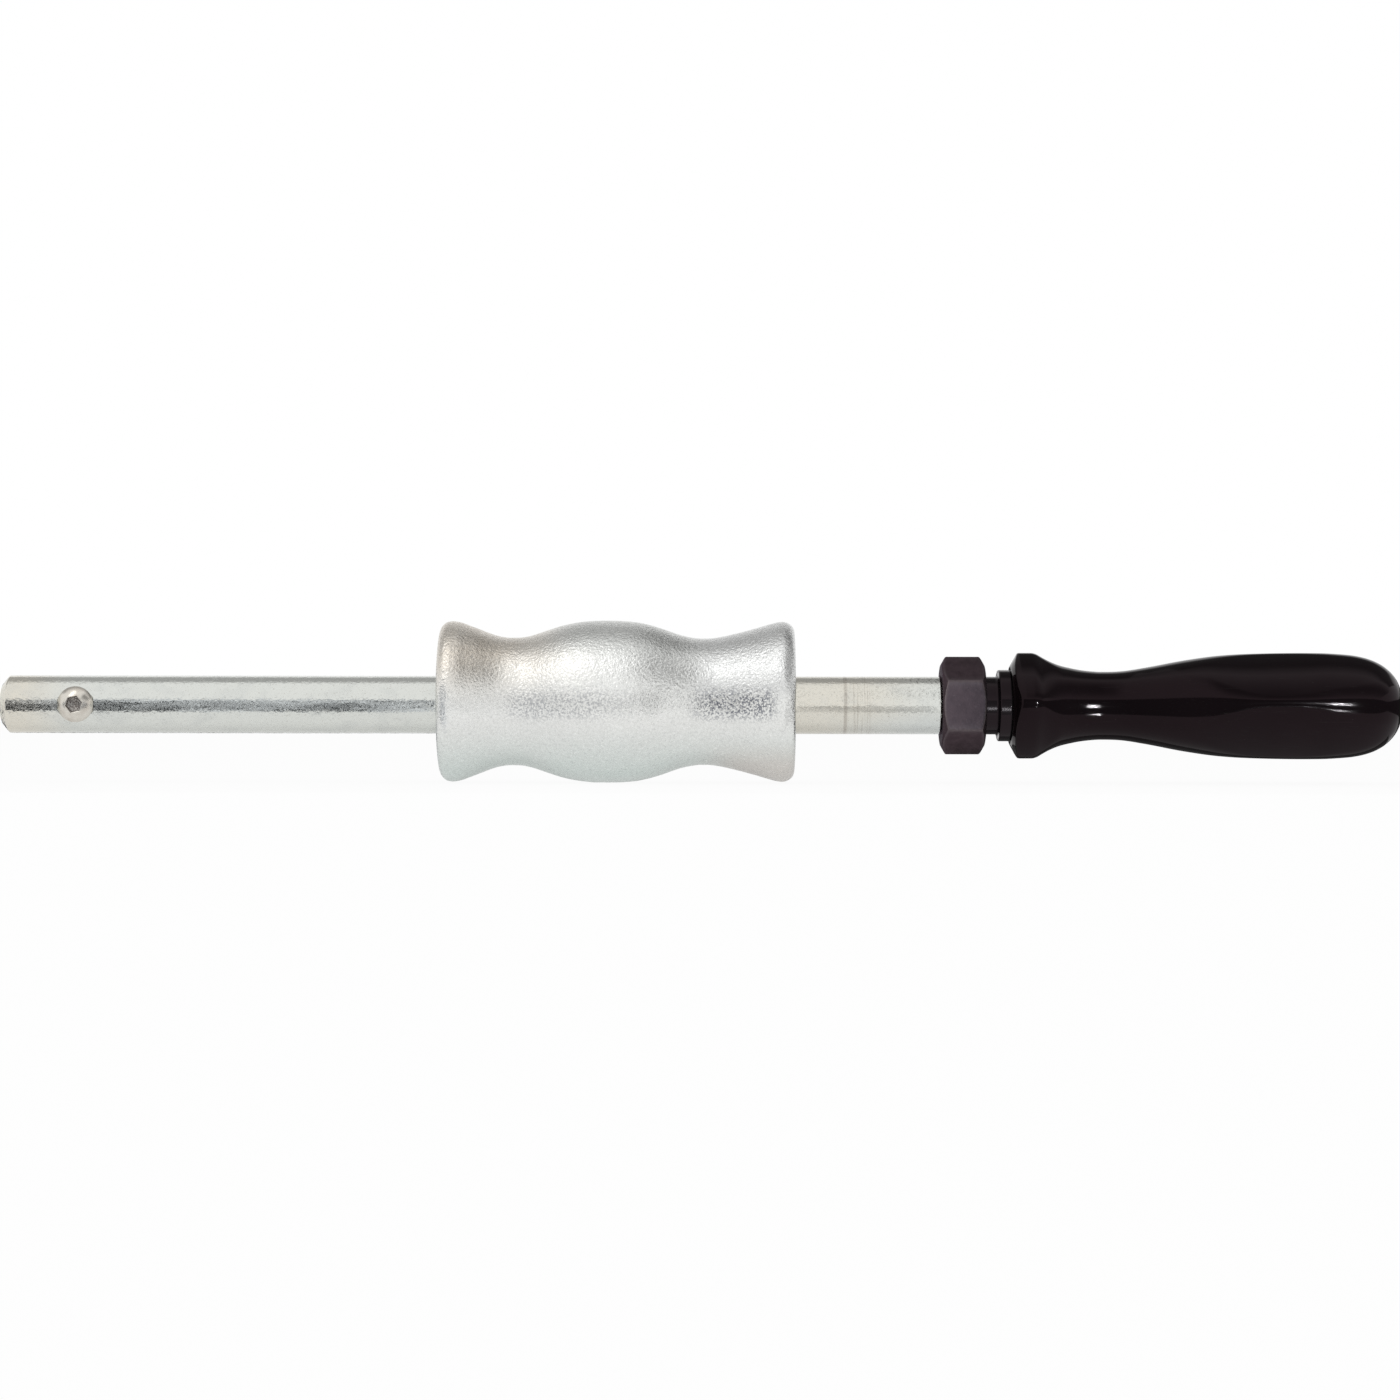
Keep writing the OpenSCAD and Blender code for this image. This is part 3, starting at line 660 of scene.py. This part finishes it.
class PULLER_OT_screw(bpy.types.Operator):
    """Adds the button-head stop screw with its hexagon socket and threaded shank"""

    bl_idname = "puller.screw"
    bl_label = "Stop Screw"

    def execute(self, context):
        s = context.scene.puller_rod
        sides = 120
        angles = around(sides)
        seat = in_mm(s.diameter) / 2 - SEAT_DEPTH
        head_r = in_mm(s.head) / 2
        head_height, rim = 3.4, 0.5
        shank_len, shank_r, root_r = 12, 2.95, 2.41
        top = seat + head_height
        rise = head_height - rim
        dome_r = (head_r ** 2 + rise ** 2) / (2 * rise)
        centre = top - dome_r
        dome = [(centre + math.sqrt(dome_r ** 2 - r * r), r) for r in np.linspace(head_r - 0.12, 2.75, 22)]
        tip = seat - shank_len
        shank = threaded(tip + 0.6, seat - 1.5, root_r, 1.0, sides)
        start = turned(np.array([(tip, POINT_R), (tip, 1.8), (tip + 0.55, 2.38)]), sides)
        head = turned(np.concatenate([
            rounded([
                (seat - 1.4, shank_r), (seat, shank_r), (seat, head_r - 0.12, 0.1), (seat + 0.1, head_r, 0.08),
            ]),
            rounded([(seat + 0.25, head_r), (seat + rim, head_r, 0.12), dome[0]]),
            np.array(dome[1:]),
        ]), sides)
        turn = math.radians(12)
        flat = in_mm(s.key) / 2
        wedge = (angles - turn) % (math.pi / 3) - math.pi / 6
        hexagon = flat / np.cos(wedge)
        edge_h = centre + np.sqrt(dome_r ** 2 - np.minimum(hexagon + 0.28, 2.7) ** 2)
        floor = top - 2.2
        socket = np.stack([
            ring_of(edge_h, np.minimum(hexagon + 0.28, 2.7), angles),
            ring_of(edge_h - 0.04, hexagon + 0.14, angles),
            ring_of(edge_h - 0.16, hexagon + 0.03, angles),
            ring_of(edge_h - 0.34, hexagon, angles),
            ring_of(np.full(sides, floor + 0.1), hexagon, angles),
            ring_of(np.full(sides, floor), hexagon - 0.08, angles),
            ring_of(np.full(sides, floor - 0.05), np.full(sides, 1.7), angles),
            ring_of(np.full(sides, floor - 0.7), np.full(sides, POINT_R), angles),
        ])
        rings = np.concatenate([start, shank, head, socket])
        # The socket's inner rings carry painted shade.
        inside = np.zeros(rings.shape[:2])
        inside[-len(socket) + 2:] = 1
        placed = np.stack([in_mm(s.screw_place) + rings[..., 1], -rings[..., 0], rings[..., 2]], -1)
        screw = skin("stop_screw_button", placed, wear_and_shade=inside, sharp=35)
        dress(screw, zinc_screw(s.screw_colour), "rod", "stop_screw")
        return {"FINISHED"}


class PULLER_OT_weight(bpy.types.Operator):
    """Adds the cast weight with its lips, waists, belly and loose bore"""

    bl_idname = "puller.weight"
    bl_label = "Slide Weight"

    def execute(self, context):
        s = context.scene.puller_weight
        front = in_mm(WEIGHT_BOX[0].x)
        long = in_mm(WEIGHT_BOX[1].x) - front
        bore_r = in_mm(s.bore) / 2
        places = np.linspace(0, long, 281)
        radius = smooth_curve(WEIGHT_SWELL, places) * s.swell
        radius[12:-12] = blurred(radius, 5)[12:-12]
        face_r = radius[0]
        leading = rounded([
            (long / 2, bore_r), (1.0, bore_r, 0.2), (0.0, bore_r + 1.0, 0.2), (0.0, face_r - 0.9),
        ])
        face = np.array([(0.0, face_r - 0.7), (0.03, face_r - 0.35), (0.12, face_r - 0.1)])
        trailing = rounded([
            (long, face_r - 0.9), (long, bore_r + 1.0, 0.2), (long - 1.0, bore_r, 0.2), (long / 2 + 1, bore_r),
        ])
        skinned = np.stack([places, radius], 1)[1:-1]
        far_face = np.array([(long - 0.12, face_r - 0.1), (long - 0.03, face_r - 0.35), (long, face_r - 0.7)])
        outline = np.concatenate([leading, face, skinned, far_face, trailing])
        rings = turned(outline, s.sides)
        first, last = len(leading) + 1, len(leading) + len(face) + len(skinned) + 1
        part = rings[first:last]
        rough = in_mm(s.roughness)
        lumps = grain(part, 1.3, 1) + 0.7 * grain(part, 2.7, 2) + 0.9 * grain(part, 8.0, 3)
        shift = rough * (0.55 * lumps - 0.6)
        away = np.clip(np.minimum(np.arange(len(part)), np.arange(len(part))[::-1]) / 4, 0, 1)
        rings[first:last, :, 1:] *= (1 + shift * away[:, None] / np.hypot(part[..., 1], part[..., 2]))[..., None]
        rings[..., 0] += front
        rings[..., 2] += in_mm(WEIGHT_BOX[0].z + WEIGHT_BOX[1].z) / 2
        weight = skin("slide_weight_casting", rings, closed=True, sharp=60)
        dress(weight, zinc_casting(s.colour), "weight", "slide_weight")
        return {"FINISHED"}


class PULLER_OT_nut(bpy.types.Operator):
    """Adds the browned hexagon nut with chamfered ends and softened corners"""

    bl_idname = "puller.nut"
    bl_label = "Stop Nut"

    def execute(self, context):
        s = context.scene.puller_nut
        front = in_mm(NUT_BOX[0].x)
        thick = in_mm(s.thickness)
        flat = in_mm(s.width) / 2
        sides = 360
        angles = around(sides)
        sharpness = 70
        across = sum(np.abs(np.cos(angles - math.radians(turn))) ** sharpness for turn in (0, 60, 120))
        edge = flat / across ** (1 / sharpness)
        face_r = flat * 0.95
        rise = math.tan(math.radians(30))
        bevel = (edge - face_r) * rise
        corner = np.clip((edge - flat) / (edge.max() - flat), 0, 1) ** 3

        def ring(place, radius, wear_and_shade):
            return ring_of(place, np.broadcast_to(radius, angles.shape), angles), np.broadcast_to(wear_and_shade, angles.shape)

        half = [
            ring(thick / 2, 6.95, 0), ring(1.55, 6.95, 0), ring(1.3, 7.15, 0.1), ring(0.1, 8.35, 0.4),
            ring(0.0, 8.6, 0.3), ring(0.0, 9.2, 0.05), ring(0.0, face_r - 0.5, 0.05), ring(0.0, face_r - 0.12, 0.5),
            ring(0.03, face_r + 0.04, 0.8),
            ring(bevel * 0.25, face_r + (edge - face_r) * 0.25, 0.15),
            ring(bevel * 0.75, face_r + (edge - face_r) * 0.75, 0.15),
            ring(bevel - 0.09 * (bevel > 0.2) - 0.03, edge - 0.18, 0.6),
            ring(bevel + 0.06, edge - 0.05, 1.0),
            ring(bevel + 0.26, edge, 0.6),
            ring(bevel + 0.7, edge, 0.1 + 0.7 * corner),
            ring(thick / 2 - 0.4, edge, 0.05 + 0.7 * corner),
        ]
        rings = [r for r, _ in half]
        worn = [w for _, w in half]
        flipped = [np.stack([thick - r[:, 0], r[:, 1], r[:, 2]], -1) for r in rings[::-1]][:-1]
        rings = np.array(rings + flipped)
        wear_and_shade = np.array(worn + worn[::-1][:-1])
        rings[..., 0] += front
        nut = skin("stop_nut_hexagon", rings, closed=True, wear_and_shade=wear_and_shade, sharp=40)
        dress(nut, browned_steel(s.colour), "rod", "stop_nut")
        return {"FINISHED"}


class PULLER_OT_ferrule(bpy.types.Operator):
    """Adds the black ferrule, a neck and a collar between the nut and the grip"""

    bl_idname = "puller.ferrule"
    bl_label = "Handle Ferrule"

    def execute(self, context):
        s = context.scene.puller_handle
        front = in_mm(FERRULE_BOX[0].x)
        long = in_mm(FERRULE_BOX[1].x) - front
        neck_r = in_mm(s.neck) / 2
        neck = in_mm(s.neck_length)
        collar_r = in_mm(s.collar) / 2
        bore_r = 6.15
        outline = rounded([
            (long / 2, bore_r), (0.0, bore_r), (0.0, neck_r, 0.35), (neck, neck_r, 0.9),
            (neck, collar_r, 0.4), (long, collar_r, 0.45), (long, bore_r), (long / 2 + 0.5, bore_r),
        ], 8)
        rings = turned(outline, 160)
        rings[..., 0] += front
        ferrule = skin("handle_ferrule_ring", rings, closed=True, sharp=60)
        finish = gloss_black("gloss_black_ferrule", s.ferrule_colour, 0.5)
        dress(ferrule, finish, "rod", "handle_ferrule")
        return {"FINISHED"}


class PULLER_OT_insert(bpy.types.Operator):
    """Gives the steel insert inside the grip its turned finish"""

    bl_idname = "puller.insert"
    bl_label = "Handle Insert"

    def execute(self, context):
        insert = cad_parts["handle_insert"]
        steel = turned_steel(context.scene.puller_handle.insert_colour)
        for slot in insert.material_slots:
            slot.material = steel
        return {"FINISHED"}


class PULLER_OT_grip(bpy.types.Operator):
    """Adds the moulded grip with its coned flange, round waist and squared palm swell"""

    bl_idname = "puller.grip"
    bl_label = "Handle Grip"

    def execute(self, context):
        s = context.scene.puller_handle
        front = in_mm(GRIP_BOX[0].x)
        sides = 384
        angles = around(sides)
        turned_by = angles + s.turn
        face_r = in_mm(s.grip_face) / 2
        flange_r = in_mm(s.flange) / 2
        recess_r, recess_depth, cone_len = 7.27, 32.0, 2.1
        places = np.concatenate([np.arange(6.5, 100, 0.6), 100 + 9 * np.sin(np.linspace(0.02, 1, 40) * math.pi / 2)])
        ridge = smooth_curve(GRIP_SWELL, places)
        ridge[3:-42] = blurred(ridge, 3)[3:-42]
        share = smooth_curve(
            (
                (0, 0.31), (7, 0.31), (14, 0.97), (20, 1.0), (34, 1.0), (46, 0.96), (53, 0.84), (60, 0.55),
                (66, 0.32), (71, 0.24), (80, 0.28), (89, 0.5), (95, 0.6), (102, 0.8), (109, 0.98),
            ), places
        )
        rings = [ring_of(x, self.section(turned_by, r, k), angles) for x, r, k in zip(places, ridge, share)]
        flange = self.section(turned_by, flange_r, 0.31)
        slope = cone_len / (flange_r - face_r)

        def cone(radius):
            return (radius - face_r) * slope

        lead = [
            ring_of(recess_depth, np.full(sides, POINT_R), angles),
            ring_of(recess_depth, np.full(sides, recess_r), angles),
            ring_of(0.0, np.full(sides, recess_r), angles),
            ring_of(0.0, np.full(sides, face_r - 0.2), angles),
            ring_of(0.04, np.full(sides, face_r + 0.05), angles),
        ]
        for t in (0.3, 0.6, 0.85):
            radius = face_r + (flange - face_r) * t
            lead.append(ring_of(cone(radius), radius, angles))
        for inset, past in ((0.42, 0.0), (0.2, 0.03), (0.06, 0.16), (0.0, 0.42)):
            radius = flange - inset
            lead.append(ring_of(cone(radius) + past, radius, angles))
        for x in (3.6, 4.6, 5.4):
            lead.append(ring_of(x, flange, angles))
        lead.append(ring_of(6.0, flange - 0.01, angles))
        rings = np.array(lead + rings)
        rings[..., 0] += front
        grip = skin("handle_grip_moulding", rings, sharp=70)
        dress(grip, gloss_black("gloss_black_grip", s.grip_colour, 1.0), "rod", "handle_grip")
        return {"FINISHED"}

    @staticmethod
    def section(angles, ridge, share):
        """Distance from the axis to a square section on edge, with rounded ridges and bowed sides."""
        share = min(share, 0.999)
        near = np.abs((angles + math.pi / 4) % (math.pi / 2) - math.pi / 4)
        small = ridge * share
        middle = ridge - small
        bow = ridge * 2.45
        reach = bow - small
        side = (math.sqrt(4 * reach ** 2 - 2 * middle ** 2) - math.sqrt(2) * middle) / 2
        half = side / math.sqrt(2)
        meet = math.atan2(small * half, middle * reach + small * (middle + half))
        on_ridge = middle * np.cos(near) + np.sqrt(np.maximum(small ** 2 - (middle * np.sin(near)) ** 2, 0))
        off = math.pi / 4 - near
        on_side = np.sqrt(bow ** 2 - (side * np.sin(off)) ** 2) - side * np.cos(off)
        return np.where(near < meet, on_ridge, on_side)


# Stage

def panel(name, corners, material):
    """A flat panel of the stage through four corners in metres."""
    mesh = bpy.data.meshes.new(name)
    mesh.from_pydata(corners, [], [(0, 1, 2, 3)])
    mesh.materials.append(material)
    piece = bpy.data.objects.new(name, mesh)
    bpy.context.scene.collection.objects.link(piece)
    return piece


def background_rays(finish):
    """1 for the rays that see the background: the camera's, reflected and transmitted ones."""
    path = finish.add("ShaderNodeLightPath")
    seen = Value(finish, path.outputs["Is Camera Ray"])
    for name in ("Is Glossy Ray", "Is Transmission Ray"):
        seen = seen.most(Value(finish, path.outputs[name]))
    return seen


class PULLER_OT_stage(bpy.types.Operator):
    """Adds the floor, the soft lamps, the reflection cards, the room light and the camera"""

    bl_idname = "puller.stage"
    bl_label = "Stage"

    def execute(self, context):
        s = context.scene.puller_stage
        scene = context.scene
        scene.view_settings.view_transform = "Standard"
        self.floor(s)
        self.cards()
        self.room(scene, s)
        cast = self.group("cast_pieces", ("slide_weight_casting", "stop_screw_button", "floor"))
        handle = self.group("handle_pieces", ("handle_grip_moulding", "handle_ferrule_ring"))
        ferrule = self.group("ferrule_piece", ("handle_ferrule_ring",))
        nut = self.group("nut_piece", ("stop_nut_hexagon",))
        white, greenish, bluish = (1.0, 1.0, 1.0), (0.7, 1.0, 0.93), (0.79, 1.0, 1.24)
        spot = s.spot_light
        for name, x, angles, distance, size, power, only, colour in (
            ("key_lamp", 0.19, (-42, 55), 1.5, (0.55, 0.9), s.key_light, cast, white),
            ("spot_lamp", 0.33, (17, -1.7), 2.0, (0.2, 0.28), spot, handle, greenish),
            ("low_spot_lamp", 0.33, (17, -29), 2.0, (0.2, 0.2), spot * 0.4, handle, greenish),
            ("neck_lamp", 0.276, (5, -12), 2.0, (0.8, 0.16), spot * 3.2, ferrule, greenish),
            ("nut_lamp", 0.267, (6, -1.7), 2.0, (0.6, 0.4), spot * 0.057, nut, bluish),
            ("nut_side_lamp", 0.26, (-60, 5), 2.0, (0.6, 0.6), spot * 0.1, nut, white),
        ):
            self.lamp(name, x, angles, distance, size, power, only, colour)
        self.camera(scene, s)
        return {"FINISHED"}

    def floor(self, s):
        f = Finish("pale_floor")
        dull = f.add("ShaderNodeBsdfDiffuse", None, {"Color": (*s.floor_colour, 1.0)})
        bright = f.add("ShaderNodeEmission", None, {"Color": (1.0, 1.0, 1.0, 1.0), "Strength": 1.0})
        path = f.add("ShaderNodeLightPath")
        y = f.along(1)
        # Painted shade in reflections: the floor's white share drops near the tool and further behind it, so metal
        # reflects a darker floor there.
        ahead = 1 - y.step(-0.014, 0.004)
        shine = 0.5 + 0.24 * ahead + 0.22 * y.size().step(0.04, 0.11)
        share = (background_rays(f) * shine).most(Value(f, path.outputs["Is Camera Ray"]) * 0.93)
        mixed = f.add("ShaderNodeMixShader", None, {0: share, 1: dull.outputs[0], 2: bright.outputs[0]})
        f.add("ShaderNodeOutputMaterial", None, {"Surface": mixed.outputs[0]})
        z = CAD_BOX[0][2] - 0.00005
        floor = panel("floor", [(-8, -8, z), (8, -8, z), (8, 12, z), (-8, 12, z)], f.material)
        floor.visible_shadow = False

    def group(self, name, pieces):
        """A collection that limits a lamp to the named pieces."""
        group = bpy.data.collections.new(name)
        for piece in pieces:
            group.objects.link(bpy.data.objects[piece])
        return group

    def cards(self):
        """Grey cards that only reflections show, as a studio's dark and grey surfaces, and a dark card on the floor
        behind the nut and handle as painted shadow in their reflections.
        """
        z = CAD_BOX[0][2] + 0.0002
        weight, handle = WEIGHT_BOX[0].x, FERRULE_BOX[0].x
        waist = weight + 0.062
        mottled = self.glow("mottled_card", 0.0, 0.9, self.mottle, (0.92, 0.95, 1.0))
        waist_grey = self.glow("waist_card", 0.03)
        left_grey = self.glow("left_card", 0.3, 1.0, self.mottle)
        upper_grey = self.glow("upper_card", 0.16, 1.0, self.high_edge)
        pale = self.glow("pale_card", 0.5, 0.8, self.mottle)
        grey = self.glow("grey_card", 0.45, 1.0, self.high_edge)
        dim = self.glow("dim_card", 0.25, 1.0, self.side_edge)
        # Painted shadow: a dark card on the floor behind the nut and handle, seen only in reflections.
        painted_floor_shadow = self.glow("low_card", 0.12)
        dark = self.glow("dark_card", 0.05)
        reflected = []
        for name, left, right, (y0, z0), (y1, z1), material in (
            ("high", -0.6, 0.3, (0.0, 0.5), (0.55, 0.36), grey),
            ("upper", 0.3, 1.1, (0.0, 0.5), (0.55, 0.36), upper_grey),
            ("side", 0.24, 1.3, (-0.9, 0.32), (0.1, 0.5), dim),
            # The painted shadow card on the floor behind the nut and handle.
            ("low", handle - 0.009, 0.4, (0.002, z), (0.06, z), painted_floor_shadow),
        ):
            corners = [(left, y0, z0), (right, y0, z0), (right, y1, z1), (left, y1, z1)]
            reflected.append(panel(f"{name}_card", corners, material))
        corners = [(END_CARD, y, h) for y, h in (
            (-CARD_AWAY, z), (CARD_AWAY, z), (CARD_AWAY, CARD_TOP), (-CARD_AWAY, CARD_TOP),
        )]
        reflected.append(panel("end_card", corners, dark))
        for side, y in (("front", -CARD_AWAY), ("back", CARD_AWAY)):
            for name, start, end, low, high, material in (
                ("rod", -0.1, weight - 0.003, z, CARD_TOP, mottled),
                ("left", weight + 0.004, waist, -0.0045, 0.003, left_grey),
                ("waist", waist + 0.0045, weight + 0.0745, -0.007, 0.0085, waist_grey),
                ("plain", weight + 0.1, NUT_BOX[0].x, -0.0205, -0.002, pale),
                ("handle", handle, END_CARD, z, CARD_TOP, dark),
            ):
                corners = [(start, y, low), (end, y, low), (end, y, high), (start, y, high)]
                reflected.append(panel(f"{side}_{name}_card", corners, material))
        for card in reflected:
            card.visible_camera = False
            card.visible_diffuse = False
            card.visible_shadow = False

    def glow(self, name, low, high=None, share=None, colour=(1.0, 1.0, 1.0)):
        """A material that glows at one level, or between two levels by a share over its surface."""
        f = Finish(name)
        levels = [low] if high is None else [low, high]
        lights = [
            f.add("ShaderNodeEmission", None, {"Color": (*colour, 1.0), "Strength": level}).outputs[0]
            for level in levels
        ]
        light = lights[0]
        if share:
            light = f.add("ShaderNodeMixShader", None, {0: share(f), 1: lights[0], 2: lights[1]}).outputs[0]
        f.add("ShaderNodeOutputMaterial", None, {"Surface": light})
        return f.material

    @staticmethod
    def mottle(f):
        spots = f.noise(1.0, 1.0, 0.5, (0.6, 1.0, 0.22)) + (f.noise(28.0, 1.0) - 0.5) * 0.4
        return spots.step(0.44, 0.56).most(f.along(2).step(0.008, 0.0144) * 0.8)

    @staticmethod
    def high_edge(f):
        y = f.along(1)
        return (1 - y.step(0.0, 0.15)).most(y.step(0.4, 0.55))

    @staticmethod
    def side_edge(f):
        x, y = f.along(0), f.along(1)
        return 1 - x.step(0.28, 0.4) * y.step(-0.78, -0.3) * (1 - y.step(-0.25, 0.1))

    def room(self, scene, s):
        world = bpy.data.worlds.new("room")
        scene.world = world
        f = Finish("room", world)
        plain = f.add("ShaderNodeBackground", None, {"Color": (1.0, 1.0, 1.0, 1.0), "Strength": s.world_light})
        white = f.add("ShaderNodeBackground", None, {"Color": (1.0, 1.0, 1.0, 1.0), "Strength": 1.0})
        mixed = f.add("ShaderNodeMixShader", None, {0: background_rays(f), 1: plain.outputs[0], 2: white.outputs[0]})
        f.add("ShaderNodeOutputWorld", None, {"Surface": mixed.outputs[0]})

    def lamp(self, name, x, angles, distance, size, power, only, colour):
        """An area lamp aimed at x on the rod's axis, from an azimuth right of -Y and an elevation."""
        azimuth, elevation = (math.radians(angle) for angle in angles)
        level = math.cos(elevation)
        away = Vector((math.sin(azimuth) * level, -math.cos(azimuth) * level, math.sin(elevation)))
        data = bpy.data.lights.new(name, "AREA")
        data.shape = "RECTANGLE"
        data.size, data.size_y = size
        data.energy = power
        data.color = colour
        data.cycles.use_multiple_importance_sampling = size[0] > 0.3
        lamp = bpy.data.objects.new(name, data)
        lamp.location = Vector((x, 0, 0)) + away * distance
        lamp.rotation_euler = (-away).to_track_quat("-Z", "Y").to_euler()
        lamp.visible_camera = False
        bpy.context.scene.collection.objects.link(lamp)
        lamp.light_linking.receiver_collection = only

    def camera(self, scene, s):
        data = bpy.data.cameras.new("photo_camera")
        data.sensor_fit = "HORIZONTAL"
        data.sensor_width = 36
        data.lens = 36 * s.distance / s.view_width
        data.clip_start = 0.01
        camera = bpy.data.objects.new("photo_camera", data)
        upright = Matrix.Rotation(math.pi / 2, 4, "X") @ Matrix.Rotation(math.radians(CAMERA_ROLL), 4, "Z")
        camera.matrix_world = Matrix.Translation((CAMERA_X, -s.distance, CAMERA_Z)) @ upright
        scene.collection.objects.link(camera)
        scene.camera = camera


class PULLER_PT_sidebar(bpy.types.Panel):
    """Lists the puller's pieces and its stage"""

    bl_idname = "PULLER_PT_sidebar"
    bl_label = "Slide Hammer Puller"
    bl_space_type = "VIEW_3D"
    bl_region_type = "UI"
    bl_category = "Puller"

    def draw(self, context):
        for kind in OPERATORS:
            self.layout.operator(kind.bl_idname)
        for group in GROUPS:
            box = self.layout.box()
            for name in GROUPS[group].__annotations__:
                box.prop(getattr(context.scene, group), name)


GROUPS = {
    "puller_rod": RodSizes,
    "puller_weight": WeightSizes,
    "puller_nut": NutSizes,
    "puller_handle": HandleSizes,
    "puller_stage": StageSizes,
}
OPERATORS = (
    PULLER_OT_rod,
    PULLER_OT_screw,
    PULLER_OT_weight,
    PULLER_OT_nut,
    PULLER_OT_ferrule,
    PULLER_OT_insert,
    PULLER_OT_grip,
    PULLER_OT_stage,
)


def register():
    for kind in (*GROUPS.values(), *OPERATORS, PULLER_PT_sidebar):
        bpy.utils.register_class(kind)
    for name, kind in GROUPS.items():
        setattr(bpy.types.Scene, name, PointerProperty(type=kind))


def unregister():
    for name in GROUPS:
        delattr(bpy.types.Scene, name)
    for kind in (PULLER_PT_sidebar, *reversed(OPERATORS), *reversed(GROUPS.values())):
        bpy.utils.unregister_class(kind)


def main():
    register()
    bpy.ops.puller.rod()
    bpy.ops.puller.screw()
    bpy.ops.puller.weight()
    bpy.ops.puller.nut()
    bpy.ops.puller.ferrule()
    bpy.ops.puller.insert()
    bpy.ops.puller.grip()
    bpy.ops.puller.stage()


if __name__ == "__main__":
    main()
